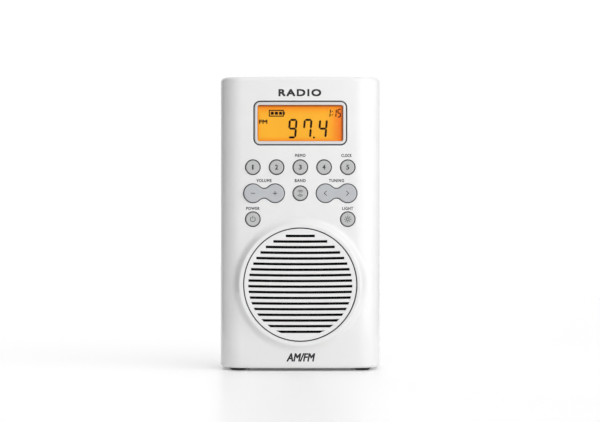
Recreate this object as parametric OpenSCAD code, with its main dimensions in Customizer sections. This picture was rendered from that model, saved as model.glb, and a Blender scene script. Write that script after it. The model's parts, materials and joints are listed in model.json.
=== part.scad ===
// Tabletop radio: white two-part housing, backlit display, ten keys, round louvred loudspeaker
// grille, three D cells behind a hinged rear door. Millimetres, +Z up, front face towards -Y.
// The origin is on the table, under the middle of the object.

/* [Body] */
// Width of the housing
body_w = 132; // [132:0.5:140]
// Height of the housing's top above the table
body_top = 241.2; // [241:0.1:243]
// Height of the housing's underside above the table
foot_h = 2.2; // [2:0.1:3]
// Y of the middle of the front face
front_y = -38.5; // [-39:0.1:-38.5]
// Y of the flat back
back_y = 42; // [42:0.5:46]
// Radius of the gently crowned front face
crown_r = 600; // [600:10:900]
// Plan radius of the front vertical corners
front_corner_r = 20; // [18:0.5:20]
// Plan radius of the rear vertical corners
rear_corner_r = 11; // [9:0.5:11]
// Rounding of the top and bottom edges
edge_r = 4; // [3:0.5:5]
// Wall thickness of both shells
wall = 2.6; // [2.4:0.1:2.7]
// Y of the joint between the front and rear shells
seam_y = -14; // [-14:0.1:-13]

/* [Loudspeaker] */
// Height of the loudspeaker's axis
speaker_z = 70.8; // [70:0.1:71]
// Radius of the round grille insert
grille_r = 45.9; // [45:0.1:46]
// Outer radius of the raised ring's flat rim
ring_r = 50; // [49.5:0.1:51]
// Y of the raised ring's rim
ring_y = -42; // [-42.5:0.1:-41.5]
// Number of grille slots
slot_count = 18; // [16:1:18]
// Distance from slot to slot
slot_pitch = 4.6; // [4.4:0.1:4.6]
// Width of a slot
slot_w = 2.1; // [1.4:0.1:2.2]
// Radius of the circle that the slots fill
slot_field_r = 42.5; // [40:0.5:42.5]

/* [Display] */
// Height of the display's centre
display_z = 202.8; // [202:0.1:203.5]
// Width of the display bezel
bezel_w = 74.6; // [74:0.1:75]
// Height of the display bezel
bezel_h = 34.5; // [34:0.1:35]
// Width of the opening in the bezel
opening_w = 70; // [69:0.1:70.5]
// Height of the opening in the bezel
opening_h = 29.6; // [29:0.1:30]

/* [Keys] */
// Distance between the round keys of the top row
key_pitch = 19.4; // [19:0.05:19.6]
// Height of the top row of keys
row_1_z = 166.7; // [166:0.1:167.5]
// Height of the middle row of keys
row_2_z = 145.4; // [145:0.1:146]
// Height of the bottom row of keys
row_3_z = 124.2; // [124:0.1:125]
// Radius of a round key
key_r = 5.65; // [5.5:0.05:5.8]
// How far the keys stand out of the face
key_proud = 0.9; // [0.5:0.1:1.2]
// Distance from the middle of the face to each rocker's pivot
rocker_x = 29.6; // [29:0.1:30]
// Distance from a rocker's pivot to each lobe's centre
lobe_x = 9; // [8.8:0.1:9.2]
// Radius of a rocker's lobes
lobe_r = 7.4; // [7:0.1:7.5]
// Half the height of a rocker's waist
waist_h = 3.7; // [3.5:0.1:4]

/* [Battery bay] */
// Radius of a D cell
cell_r = 16.3; // [16.2:0.1:16.7]
// Distance between the cells
cell_pitch = 33.8; // [33.7:0.1:34]
// Length of a D cell without its nub
cell_len = 60; // [59:0.1:60]
// Height of a compressed contact spring
spring_h = 6; // [5:0.5:7]
// Width of the battery door
door_w = 104; // [103:0.5:104]

/* [Hidden] */
$fn = 64;

// A small step past a face, so that a cut goes right through
over = 1;
// Gap between parts that move past each other, and between parts that only sit together
run_gap = 0.1;
sit_gap = 0.2;

// Front face: the crown's circle and the corners' circles share the tangent at corner_angle
crown_cy = front_y + crown_r;
corner_x = body_w / 2 - front_corner_r;
corner_cy = crown_cy - sqrt(pow(crown_r - front_corner_r, 2) - pow(corner_x, 2));
corner_angle = atan2(corner_cy - crown_cy, corner_x);
mid_z = (body_top + foot_h) / 2;
body_h = body_top - foot_h;

// Seam between the shells: a tongue on the rear shell enters a rebate in the front shell
seam_gap = 0.5;
seam_front_y = seam_y - seam_gap / 2;
seam_rear_y = seam_y + seam_gap / 2;
tongue_t = 1.1;
rebate_y = seam_y - 4;
tongue_y = seam_y - 2.8;

// Display stack, from the front
window_gap = 1.1;
bezel_r = 4.4;
lens_y = -36.6;
lens_t = 1.5;
pocket_w = bezel_w - 2;
pocket_h = bezel_h - 2.3;
glass_y = lens_y + lens_t + sit_gap;
glass_t = 2.2;
light_y = glass_y + glass_t + 0.1;
flange_y = -34.2;
flange_t = 1;
board_y = -28.6;
board_t = 1.6;

// Keys: a flange keeps each cap in, and its stem rests on a dome of the mat
key_gap = 0.7;
rocker_gap = 0.65;
seal_gap = 0.3;
seal_sunk = 0.5;
key_flange_y = -33.9;
key_flange_t = 1;
key_flange_r = 7.2;
dome_y = -31.6;
mat_y = board_y - 1;
pivot_y = -34.2;
pivot_r = 0.9;
waist_arc_r = (pow(lobe_x, 2) + pow(waist_h, 2) - pow(lobe_r, 2)) / (2 * (lobe_r - waist_h));
waist_arc_z = waist_arc_r + waist_h;
waist_angle = atan2(waist_arc_z, lobe_x);
PRESETS = [for (i = [-2:2]) [i * key_pitch, row_1_z]];
BAND = [0, row_2_z];
POWER = [-2 * key_pitch, row_3_z];
LIGHT = [2 * key_pitch, row_3_z];
ROUND_KEYS = concat(PRESETS, [BAND, POWER, LIGHT]);
ROCKERS = [[-rocker_x, row_2_z], [rocker_x, row_2_z]];
DOMES = concat(ROUND_KEYS, [for (r = ROCKERS, s = [-1, 1]) [r[0] + s * lobe_x, r[1]]]);

// Loudspeaker, from the front
grille_gap = 0.6;
pocket_y = -37.9;
cloth_t = 0.4;
sound_r = 36.5;
seat_y = -34;
gasket_t = 0.8;
basket_y = seat_y + gasket_t;
basket_flange_r = 43;
basket_flange_t = 1.2;
speaker_screw_r = 40.2;
cone_r = 29.2;
roll_r = 2.3;
coil_r = 8.15;
top_plate_y = -17.5;
magnet_y = -14.5;
yoke_y = -6.5;
yoke_t = 3;

// Bosses and screws
board_bosses = [for (x = [-52, 52], z = [119, 221]) [x, z]];
shell_bosses = [for (p = [[14, 9], [55, 98], [55, 232]], s = [-1, 1]) [s * p[0], p[1]]];
main_bosses = [for (x = [-44, 44], z = [106, 196]) [x, z]];
boss_r = 3.2;
shell_boss_r = 4.2;
screw_r = 1;
shell_screw_r = 1.5;
shell_head_y = -6;

// Main board, on posts from the back
main_y = 20;
main_t = 1.6;

// Battery bay: each cell's nub touches a plate, and its other end rests on a spring
bay_y = 1.5;
bay_wall = 2;
bay_floor_z = 16;
nub_h = 1.5;
plate_t = 0.5;
bay_top_z = bay_floor_z + 2 * plate_t + cell_len + nub_h + spring_h;
bay_half_w = 51.2;
cell_y = 20.2;

// Battery door: its rolled lower edge turns on two stubs in the bay's side walls
door_t = 2.4;
door_r = 6;
door_gap = 0.4;
seal_t = 0.6;
ledge_y = back_y - door_t - seal_t;
hinge_y = back_y - 2.6;
hinge_z = bay_floor_z + 3.1;
roll_edge_r = 2.5;
roll_half_w = bay_half_w - 0.3;
stub_r = 1.5;
stub_x = door_w / 2 + 3.4;
door_top_z = bay_top_z + 0.6;
door_mid_z = (hinge_z + door_top_z) / 2;

// Ferrite aerial
rod_y = 14;
rod_z = 222;
rod_r = 5;
rod_len = 96;

// Half the length of the shortest slot that the grille may have
slot_least = 8;

// Routes of the internal leads
lead_r = 0.7;
SPEAKER_LEADS = [
    [[20, -21.6, 94.4], [21, -17, 97], [22, -8, 101], [23, 2, 104], [24, 12, 106.5], [25, main_y - 0.8, 107]],
    [[24, -21.6, 90.4], [26, -16, 95], [27.5, -7, 99.5], [28.5, 3, 103], [29, 13, 106.5], [30, main_y - 0.8, 108]]
];
plus_lead = [-30, 14];
minus_lead = [48.8, 6];
BATTERY_LEADS = [
    [[-30, 14, bay_top_z], [-30, 14, 90], [-29, 15, 98], [-26, 17, 104], [-24, main_y - 0.8, 107]],
    [[41, 12.6, 17.3], [45.5, 8.4, 18.5], [48.8, 6, 24], [48.8, 6, 60], [48.8, 6, 90],
     [47, 9, 97], [42, 15, 103], [38, main_y - 0.8, 106]]
];

// ---- Curves -------------------------------------------------------------------------------

function arc(cx, cy, r, a0, a1, n) =
    [for (i = [0:n]) let (a = a0 + (a1 - a0) * i / n) [cx + r * cos(a), cy + r * sin(a)]];

function rounded_rect(w, h, r, n = 6) = concat(
    arc(w / 2 - r, h / 2 - r, r, 0, 90, n), arc(-w / 2 + r, h / 2 - r, r, 90, 180, n),
    arc(-w / 2 + r, -h / 2 + r, r, 180, 270, n), arc(w / 2 - r, -h / 2 + r, r, 270, 360, n));

// Plan outline of the body, moved inwards by d
function plan_outline(d) = concat(
    arc(body_w / 2 - rear_corner_r, back_y - rear_corner_r, rear_corner_r - d, 90, 0, 6),
    arc(corner_x, corner_cy, front_corner_r - d, 0, corner_angle, 10),
    arc(0, crown_cy, crown_r - d, corner_angle, -180 - corner_angle, 12),
    arc(-corner_x, corner_cy, front_corner_r - d, -180 - corner_angle, -180, 10),
    arc(-body_w / 2 + rear_corner_r, back_y - rear_corner_r, rear_corner_r - d, 180, 90, 6));

// Y of the front face at x, moved inwards by d
function crown_y(x, d = 0) = crown_cy - sqrt(pow(crown_r - d, 2) - x * x);

// Outline of a rocker, moved outwards by g
function dumbbell(g = 0) = concat(
    arc(lobe_x, 0, lobe_r + g, waist_angle - 180, 180 - waist_angle, 18),
    arc(0, waist_arc_z, waist_arc_r - g, -waist_angle, waist_angle - 180, 8),
    arc(-lobe_x, 0, lobe_r + g, waist_angle, 360 - waist_angle, 18),
    arc(0, -waist_arc_z, waist_arc_r - g, 180 - waist_angle, waist_angle, 8));

// ---- Placing ------------------------------------------------------------------------------

// Extrudes an XZ shape from y0 to y1
module along_y(y0, y1) { translate([0, y1, 0]) rotate([90, 0, 0]) linear_extrude(y1 - y0) children(); }
// Extrudes a YZ shape from x0 to x1
module along_x(x0, x1) { translate([x0, 0, 0]) rotate([90, 0, 90]) linear_extrude(x1 - x0) children(); }
// A cylinder along Y at x, z
module rod_along_y(x, z, r, y0, y1) {
    translate([x, y1, z]) rotate([90, 0, 0]) cylinder(r = r, h = y1 - y0);
}
// Turns a profile of (radius, y) points about the loudspeaker's axis
module turned(points, n = 96) {
    translate([0, 0, speaker_z]) rotate([-90, 0, 0]) rotate_extrude($fn = n) polygon(points);
}
// A ring about the loudspeaker's axis
module speaker_ring(r0, r1, y0, y1) { turned([[r0, y0], [r1, y0], [r1, y1], [r0, y1]]); }
// A screw from behind: a domed head at y and a shank towards the front
module screw_from_back(x, z, y, shank_r, shank_len, head_r, head_h) {
    translate([x, y, z]) rotate([-90, 0, 0]) rotate_extrude($fn = 32) polygon(concat(
        [[0, -shank_len], [shank_r * 0.6, -shank_len], [shank_r, -shank_len + shank_r], [shank_r, 0],
         [head_r, 0], [head_r, head_h * 0.5], [head_r * 0.75, head_h]],
        [[head_r * 0.4, head_h], [head_r * 0.4, head_h * 0.4], [0, head_h * 0.4]]));
}

// ---- Housing ------------------------------------------------------------------------------

// The body's envelope, moved inwards by d: prisms that meet, with rounded edges
module envelope(d) {
    h = body_h - 2 * d;
    e = edge_r - d;
    intersection() {
        translate([0, 0, foot_h + d]) linear_extrude(h) polygon(plan_outline(d));
        along_y(front_y - over, back_y + over)
            translate([0, mid_z]) polygon(rounded_rect(body_w - 2 * d, h, e));
        along_x(-body_w / 2, body_w / 2)
            translate([(front_y + back_y) / 2, mid_z]) polygon(rounded_rect(back_y - front_y - 2 * d, h, e));
    }
}

// What takes the upper edge off a corner with plan radius r, and sweeps its rounding
module corner_cutter(r, angle) {
    top = body_h / 2;
    rotate_extrude(angle = angle, $fn = 96) polygon(concat(
        arc(r - edge_r, top - edge_r, edge_r + 0.02, 90, 0, 6),
        [[r + 1, top - edge_r], [r + 1, top + 1], [r - edge_r, top + 1]]));
}

// The whole outer body, with the upper and lower edges also rounded at its four corners
module body() {
    difference() {
        envelope(0);
        for (s = [0, 1], t = [0, 1]) mirror([s, 0, 0]) translate([0, 0, mid_z]) mirror([0, 0, t]) {
            translate([corner_x, corner_cy, 0]) rotate([0, 0, corner_angle])
                corner_cutter(front_corner_r, -corner_angle);
            translate([body_w / 2 - rear_corner_r, back_y - rear_corner_r, 0])
                corner_cutter(rear_corner_r, 90);
        }
    }
}

// A flat ring that follows the housing's wall, between two depths inside its surface
module wall_ring(d0, d1, y0, y1) {
    along_y(y0, y1) translate([0, mid_z]) difference() {
        polygon(rounded_rect(body_w - 2 * d0, body_h - 2 * d0, edge_r - d0));
        polygon(rounded_rect(body_w - 2 * d1, body_h - 2 * d1, max(edge_r - d1, 0.2)));
    }
}

// The raised ring round the grille, with its sloping skirt
module speaker_ring_boss() {
    skirt = 5.5;
    depth = 5;
    top_y = ring_y + 0.8;
    foot_y = -32.8;
    turned(concat([[grille_r - over, ring_y]], arc(ring_r - 1, ring_y + 1, 1, -90, -30, 4),
        [for (i = [0:6]) let (t = i / 6) [ring_r + 0.2 + skirt * t * t, top_y + depth * (1 - pow(1 - t, 2))]],
        [[ring_r + skirt + 2, foot_y], [grille_r - over, foot_y]]));
}

// The four speaker screws' holes
module speaker_holes(r, y0, y1) {
    for (a = [45:90:315])
        rod_along_y(speaker_screw_r * cos(a), speaker_z + speaker_screw_r * sin(a), r, y0, y1);
}

module key_holes() {
    for (k = ROUND_KEYS) rod_along_y(k[0], k[1], key_r + key_gap, front_y - over, board_y);
    for (k = ROCKERS) translate([k[0], 0, k[1]])
        along_y(front_y - over, board_y) polygon(dumbbell(rocker_gap));
}

// Two posts that hold a rocker's pivot, open towards the back
module rocker_cradle() {
    for (s = [-1, 1]) translate([0, 0, s * 6.4]) difference() {
        translate([-1.9, -36.6, -1]) cube([3.8, 4.4, 2]);
        translate([0, pivot_y, -over - 1]) cylinder(r = pivot_r + run_gap, h = 2 + 2 * over, $fn = 24);
        translate([-0.85, pivot_y, -over - 1]) cube([1.7, 3, 2 + 2 * over]);
    }
}

module front_housing() {
    color("white") difference() {
        union() {
            difference() {
                intersection() {
                    union() {
                        body();
                        speaker_ring_boss();
                    }
                    translate([-body_w, -80, 0]) cube([2 * body_w, 80 + seam_front_y, 300]);
                }
                envelope(wall);
                wall_ring(tongue_t + sit_gap, wall + over, rebate_y, seam_y);
            }
            intersection() {
                envelope(wall / 2);
                union() {
                    for (b = board_bosses) rod_along_y(b[0], b[1], boss_r, front_y, board_y);
                    for (b = shell_bosses) rod_along_y(b[0], b[1], shell_boss_r, front_y, -12);
                }
            }
            speaker_ring(sound_r, basket_flange_r + 1.5, pocket_y, seat_y);
            for (k = ROCKERS) translate([k[0], 0, k[1]]) rocker_cradle();
        }
        speaker_ring(0, grille_r + grille_gap, ring_y - over, pocket_y);
        speaker_ring(0, sound_r, pocket_y - over, seat_y + over);
        key_holes();
        translate([0, 0, display_z]) along_y(front_y - over, flange_y)
            polygon(rounded_rect(bezel_w + 2 * window_gap, bezel_h + 2 * window_gap, bezel_r + window_gap));
        for (b = board_bosses) rod_along_y(b[0], b[1], screw_r + 0.05, -34.6, board_y + over);
        for (b = shell_bosses) rod_along_y(b[0], b[1], shell_screw_r + 0.05, -27, -12 + over);
        speaker_holes(1.25, -37.2, seat_y + over);
        for (x = [-51, 51]) translate([x, -24, foot_h - over]) cylinder(r = 2.6, h = wall + 2 * over);
    }
}

// The battery bay: a box moulded into the rear shell, open at the back
module bay_box() {
    difference() {
        translate([-bay_half_w - bay_wall, bay_y, bay_floor_z - bay_wall])
            cube([2 * (bay_half_w + bay_wall), back_y - 1 - bay_y, bay_top_z - bay_floor_z + 2 * bay_wall]);
        translate([-bay_half_w, bay_y + bay_wall, bay_floor_z])
            cube([2 * bay_half_w, back_y, bay_top_z - bay_floor_z]);
    }
}

// Two ribs that keep the cells apart
module bay_ribs() {
    for (s = [-1, 1]) translate([s * cell_pitch / 2 - 0.6, bay_y + 1, bay_floor_z])
        cube([1.2, 9, bay_top_z - bay_floor_z]);
}

// Outline with rounded upper corners and a straight lower edge, about its middle
module door_outline(w, h, r) {
    intersection() {
        translate([0, -r]) polygon(rounded_rect(w, h + 2 * r, r));
        square([w + over, h], center = true);
    }
}

// The door's opening, its ledge, and the sockets of its stubs
module door_opening() {
    bottom = hinge_z - roll_edge_r - 0.5;
    top = door_top_z + door_gap;
    translate([0, 0, (bottom + top) / 2]) along_y(ledge_y, back_y + over)
        door_outline(door_w + 2 * door_gap, top - bottom, door_r);
    for (s = [0, 1]) mirror([s, 0, 0]) translate([bay_half_w - over, hinge_y, hinge_z]) rotate([0, 90, 0])
        cylinder(r = stub_r + 0.06, h = stub_x + 0.4 - bay_half_w + over, $fn = 40);
}

module rear_housing() {
    color("white") difference() {
        union() {
            difference() {
                intersection() {
                    body();
                    translate([-body_w, seam_rear_y, 0]) cube([2 * body_w, 100, 300]);
                }
                envelope(wall);
            }
            wall_ring(wall - tongue_t, wall, tongue_y, seam_rear_y + 2);
            bay_box();
            bay_ribs();
            for (s = [0, 1]) mirror([s, 0, 0]) translate([bay_half_w, back_y - 7, bay_floor_z - bay_wall])
                cube([6.5, 5.6, 9]);
            for (b = shell_bosses) rod_along_y(b[0], b[1], shell_boss_r + 1, -11.8, back_y - wall / 2);
            for (b = main_bosses) rod_along_y(b[0], b[1], boss_r, main_y + main_t, back_y - wall / 2);
        }
        door_opening();
        for (b = shell_bosses) {
            rod_along_y(b[0], b[1], 3.4, shell_head_y, back_y + over);
            rod_along_y(b[0], b[1], shell_screw_r + 0.2, -11.8 - over, shell_head_y + over);
        }
        for (b = main_bosses) rod_along_y(b[0], b[1], screw_r + 0.05, main_y - over, main_y + 8);
        for (p = [plus_lead, minus_lead]) translate([p[0], p[1], bay_top_z - over])
            cylinder(r = lead_r + 0.4, h = bay_wall + 2 * over, $fn = 24);
        for (x = [-51, 51]) translate([x, 28, foot_h - over]) cylinder(r = 2.6, h = wall + 2 * over);
    }
}

module housing_seal() {
    color("dimgray") wall_ring(tongue_t + sit_gap + 0.05, wall - 0.05, rebate_y + 0.05, tongue_y - 0.05);
}

module housing_screws() {
    color("silver") for (b = shell_bosses)
        screw_from_back(b[0], b[1], shell_head_y, shell_screw_r, 18, 2.9, 2);
}

// A rubber sheet between the feet, clear of the table
module base_pad() {
    low = 0.3;
    color("#808080") translate([0, 2, low]) linear_extrude(foot_h - 0.1 - low)
        polygon(rounded_rect(86, 68, 3));
}

module rubber_feet() {
    top = foot_h - 0.1;
    barb = foot_h + wall + 0.2;
    color("#202020") for (x = [-51, 51], y = [-24, 28]) translate([x, y, 0]) rotate_extrude($fn = 48)
        polygon([[0, 0], [4.6, 0], [5.8, 0.35], [6.8, 1], [7.5, top], [2.5, top],
                 [2.5, barb], [3.1, barb], [2.2, barb + 1.2], [0, barb + 1.2]]);
}

// ---- Display ------------------------------------------------------------------------------

// Everything behind the front face, moved inwards by d
module behind_face(d) {
    translate([0, 0, display_z - 30]) linear_extrude(60) polygon(concat(
        arc(0, crown_cy, crown_r - d, -94.4, -85.6, 16), [[46, -20], [-46, -20]]));
}

module display_bezel() {
    color("silver") difference() {
        union() {
            intersection() {
                behind_face(-0.2);
                translate([0, 0, display_z]) along_y(front_y - over, flange_y + over)
                    polygon(rounded_rect(bezel_w, bezel_h, bezel_r));
            }
            translate([0, 0, display_z]) along_y(flange_y, flange_y + flange_t)
                polygon(rounded_rect(bezel_w + 7, bezel_h + 7, bezel_r + 2));
        }
        translate([0, 0, display_z]) along_y(front_y - 2, flange_y + 2 * over)
            polygon(rounded_rect(opening_w, opening_h, 1.6));
        translate([0, 0, display_z]) along_y(lens_y, flange_y + 2 * over)
            polygon(rounded_rect(pocket_w, pocket_h, 1));
    }
}

module display_seal() {
    seal_w = window_gap - 0.05;
    color("#303030") intersection() {
        behind_face(0.5);
        translate([0, 0, display_z]) along_y(front_y, flange_y) difference() {
            polygon(rounded_rect(bezel_w + 2 * seal_w, bezel_h + 2 * seal_w, bezel_r + seal_w));
            polygon(rounded_rect(bezel_w + 0.1, bezel_h + 0.1, bezel_r));
        }
    }
}

module display_lens() {
    color("lightcyan", 0.4) translate([0, 0, display_z]) along_y(lens_y, lens_y + lens_t)
        polygon(rounded_rect(pocket_w - 0.2, pocket_h - 0.2, 0.9));
}

// Two glass plates: the front one is shorter, so that the rear one has a contact ledge
module lcd_glass() {
    color("darkorange") translate([-36, glass_y, display_z]) {
        translate([0, 0, -15.8]) cube([72, glass_t / 2, 31.2]);
        translate([0, glass_t / 2, -15.8]) cube([72, glass_t / 2, 31.6]);
    }
}

module lcd_backlight() {
    color("orange") translate([-33, light_y, display_z - 13.8]) cube([66, 3, 27.6]);
}

module backlight_leds() {
    color("ivory") for (x = [-34.7, 34.7], z = [-8, 0, 8])
        translate([x - 0.9, light_y + 0.2, display_z + z - 1.4]) cube([1.8, board_y - light_y - 0.2, 2.8]);
}

module lcd_holder() {
    color("#303030") translate([0, 0, display_z]) along_y(flange_y + flange_t + 0.1, board_y) difference() {
        polygon(rounded_rect(78, 38, 2));
        polygon(rounded_rect(72.4, 32, 0.6));
    }
}

module zebra_strips() {
    color("dimgray") for (s = [-1, 1])
        translate([-31, light_y - 0.1, display_z + s * 14.9 - 0.8]) cube([62, board_y - light_y + 0.1, 1.6]);
}

// A dust seal lines each key's hole, a little below the face
module key_seals() {
    color("#202020") {
        for (k = ROUND_KEYS) along_y(crown_y(k[0]) + seal_sunk, crown_y(k[0]) + wall) translate([k[0], k[1]])
            difference() {
                circle(r = key_r + key_gap);
                circle(r = key_r + seal_gap);
            }
        for (k = ROCKERS) along_y(crown_y(k[0]) + seal_sunk, crown_y(k[0]) + wall) translate([k[0], k[1]])
            difference() {
                polygon(dumbbell(rocker_gap));
                polygon(dumbbell(seal_gap));
            }
    }
}

// ---- Keypad and control board --------------------------------------------------------------

// The silicone mat: a sheet with a hollow dome and a contact pill under each key
module keypad_mat() {
    sheet_w = 96;
    color("gainsboro") difference() {
        union() {
            translate([-sheet_w / 2, mat_y, 115.5]) cube([sheet_w, board_y - mat_y, 60]);
            for (d = DOMES) translate([d[0], 0, d[1]]) rotate([-90, 0, 0]) rotate_extrude($fn = 32)
                polygon([[0, dome_y], [3, dome_y], [4.2, mat_y + 0.1], [0, mat_y + 0.1]]);
        }
        for (d = DOMES) translate([d[0], 0, d[1]]) rotate([-90, 0, 0]) rotate_extrude($fn = 32)
            polygon([[1.6, dome_y + 0.8], [2.2, dome_y + 0.8], [3.3, mat_y + 0.1], [3.3, board_y + over],
                     [0, board_y + over], [0, dome_y + 1.6], [1.6, dome_y + 1.6]]);
    }
}

module control_board() {
    color("darkgreen") difference() {
        translate([-57, board_y, 113.5]) cube([114, board_t, 113]);
        for (b = board_bosses)
            rod_along_y(b[0], b[1], screw_r + 0.3, board_y - over, board_y + board_t + over);
    }
}

module control_chip() {
    color("#202020") {
        translate([-8, board_y + board_t, 172]) cube([16, 1.8, 16]);
        for (s = [-1, 1], i = [-6:6]) {
            translate([i * 1.1 - 0.25, board_y + board_t, 180 + s * 9.1 - 1.2]) cube([0.5, 0.8, 2.4]);
        }
    }
}

module board_screws() {
    color("silver") {
        for (b = board_bosses) screw_from_back(b[0], b[1], board_y + board_t, screw_r, 7, 2.1, 1.4);
        for (b = main_bosses) translate([0, 2 * main_y, 0]) mirror([0, 1, 0])
            screw_from_back(b[0], b[1], main_y, screw_r, 7, 2.1, 1.4);
    }
}

// A flat cable that hangs in one loop between the two boards
module ribbon_cable() {
    t = 0.4;
    y0 = board_y + board_t;
    span = main_y - y0;
    z0 = 150;
    top = [for (i = [0:12]) let (u = i / 12) [y0 + span * u, z0 - 9 * sin(180 * u)]];
    low = [for (i = [12:-1:0]) let (u = i / 12) [y0 + span * u, z0 - t - 9 * sin(180 * u)]];
    color("lightgray") along_x(-12, 12) polygon(concat(top, low));
}

module round_key(x, z) {
    rod_along_y(x, z, key_r, crown_y(x) - key_proud, key_flange_y + 0.1);
    rod_along_y(x, z, key_flange_r, key_flange_y, key_flange_y + key_flange_t);
    rod_along_y(x, z, 2.2, key_flange_y, dome_y);
}

module rocker(x, z) {
    translate([x, 0, z]) {
        along_y(crown_y(x) - key_proud, -33) polygon(dumbbell());
        translate([0, pivot_y, -7.4]) cylinder(r = pivot_r, h = 14.8, $fn = 24);
        for (s = [-1, 1]) rod_along_y(s * lobe_x, 0, 2, -33.2, dome_y);
    }
}

module preset_button(i) { color("lightgray") round_key(PRESETS[i][0], PRESETS[i][1]); }
module band_button() { color("lightgray") round_key(BAND[0], BAND[1]); }
module power_button() { color("lightgray") round_key(POWER[0], POWER[1]); }
module light_button() { color("lightgray") round_key(LIGHT[0], LIGHT[1]); }
module volume_rocker() { color("lightgray") rocker(ROCKERS[0][0], ROCKERS[0][1]); }
module tuning_rocker() { color("lightgray") rocker(ROCKERS[1][0], ROCKERS[1][1]); }

// ---- Loudspeaker ---------------------------------------------------------------------------

// Half width of the slot field at the height where a band of this sag ends
function slot_reach(z, sag) =
    let (flat = slot_field_r * slot_field_r - z * z, end = z + sag * flat)
    sqrt(max(slot_field_r * slot_field_r - end * end, slot_least * slot_least));

// Slots as bands that rise a little towards their ends, most at the top. Each reaches a circle
// with its outer edge, and the ends of the lower ones slant along it
module grille_slots() {
    steps = 9;
    lift = 0.6;
    half = slot_w / 2;
    for (i = [0:slot_count - 1]) {
        z0 = ((slot_count - 1) / 2 - i) * slot_pitch + lift;
        sag = 0.0004 - 0.0003 * i / (slot_count - 1);
        above = slot_reach(z0 + half, sag);
        below = z0 > 0 ? above : slot_reach(z0 - half, sag);
        polygon(concat(
            [for (j = [-steps:steps]) let (x = above * j / steps) [x, z0 + half + sag * x * x]],
            [for (j = [steps:-1:-steps]) let (x = below * j / steps) [x, z0 - half + sag * x * x]]));
    }
}

module speaker_grille() {
    dome = 0.9;
    back = pocket_y - cloth_t;
    steps = 8;
    color("whitesmoke") difference() {
        turned(concat(
            [for (i = [0:steps]) let (t = i / steps) [(grille_r - 0.4) * t, ring_y + dome * t * t]],
            [[grille_r, ring_y + dome + 0.4], [grille_r, back], [0, back]]));
        translate([0, 0, speaker_z]) along_y(ring_y - over, back + over) grille_slots();
    }
}

// Cloth behind the grille, turned forwards round its rim
module grille_cloth() {
    outer_r = grille_r + grille_gap - 0.05;
    color("#101010") turned([[0, pocket_y - cloth_t + 0.02], [grille_r + 0.05, pocket_y - cloth_t + 0.02],
        [grille_r + 0.05, ring_y + 1.7], [outer_r, ring_y + 1.7], [outer_r, pocket_y], [0, pocket_y]]);
}

module speaker_gasket() {
    color("#303030") difference() {
        speaker_ring(sound_r + 0.1, basket_flange_r, seat_y, basket_y);
        speaker_holes(1.7, seat_y - over, basket_y + over);
    }
}

// Pressed steel basket: flange, sloping wall with four windows, and a floor on the top plate
module speaker_basket() {
    rim = 33.8;
    neck = 19.5;
    floor_y = top_plate_y - 1;
    color("dimgray") difference() {
        turned([[rim, basket_y], [basket_flange_r, basket_y], [basket_flange_r, basket_y + basket_flange_t],
                [rim + 1.2, basket_y + basket_flange_t], [neck + 1, top_plate_y], [coil_r + 1, top_plate_y],
                [coil_r + 1, floor_y], [neck, floor_y], [rim, basket_y + 1.6]]);
        speaker_holes(1.7, basket_y - over, basket_y + 3);
        for (a = [0:90:270]) translate([0, 0, speaker_z]) rotate([0, a, 0])
            translate([23, top_plate_y - 11, -9]) cube([9.5, 7.5, 18]);
    }
}

module speaker_surround() {
    mid_r = cone_r + roll_r;
    y = basket_y - 0.2;
    color("#202020") turned(concat([[cone_r, y]], arc(mid_r, y, roll_r, 180, 360, 8),
        [[36.2, y], [36.2, y + 0.2], [mid_r + roll_r - 0.4, y + 0.2]],
        arc(mid_r, y, roll_r - 0.4, 360, 180, 8), [[cone_r, y + 0.25]]));
}

module speaker_spider() {
    y = -21.4;
    t = 0.3;
    waves = 3;
    r0 = coil_r + 0.35;
    r1 = 18.6;
    n = 24;
    front = [for (i = [0:n]) [r0 + (r1 - r0) * i / n, y - 0.6 * sin(360 * waves * i / n)]];
    rear = [for (i = [n:-1:0]) [r0 + (r1 - r0) * i / n, y + t - 0.6 * sin(360 * waves * i / n)]];
    color("goldenrod") {
        turned(concat(front, rear));
        speaker_ring(r1 - 0.1, r1 + 0.7, y, top_plate_y - 1);
    }
}

module speaker_top_plate() { color("silver") speaker_ring(coil_r + 0.65, 20, top_plate_y, magnet_y); }
module speaker_magnet() { color("#303030") speaker_ring(11, 22.5, magnet_y, yoke_y); }

module speaker_yoke() {
    pole_r = coil_r - 0.3;
    color("silver") turned([[0, top_plate_y], [pole_r, top_plate_y], [pole_r, yoke_y], [20, yoke_y],
        [20, yoke_y + yoke_t], [0, yoke_y + yoke_t]]);
}

// A tag strip on the basket's sloping wall, between two of its windows
module speaker_terminals() {
    color("peru") translate([0, 0, speaker_z]) rotate([0, -45, 0])
        translate([28, -25, 0]) rotate([0, 0, 45]) {
        translate([0.02, -4, -5]) cube([1.2, 8, 10]);
        for (z = [-2.9, 2.9]) translate([1.2, -0.25, z - 1.1]) cube([3.2, 0.5, 2.2]);
    }
}

module speaker_screws() {
    head_y = basket_y + basket_flange_t;
    color("silver") for (a = [45:90:315])
        screw_from_back(speaker_screw_r * cos(a), speaker_z + speaker_screw_r * sin(a), head_y,
                        1.2, 5, 2.6, 1.7);
}

module speaker_cone() {
    rim_y = basket_y - 0.2;
    neck_y = -24;
    neck_r = coil_r + 0.2;
    t = 0.5;
    color("#282828") turned([[cone_r - 0.3, rim_y - 0.4], [cone_r - 0.3, rim_y], [neck_r, neck_y + t],
                             [neck_r, neck_y - t], [cone_r - 2, rim_y - 0.4]]);
}

module dust_cap() {
    y = -25.2;
    color("#202020") turned(concat(
        [for (i = [0:8]) let (a = 90 * i / 8) [9.5 * sin(a), y - 3 * cos(a)]],
        [for (i = [8:-1:0]) let (a = 90 * i / 8) [9 * sin(a), y - 2.6 * cos(a)]]));
}

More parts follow.
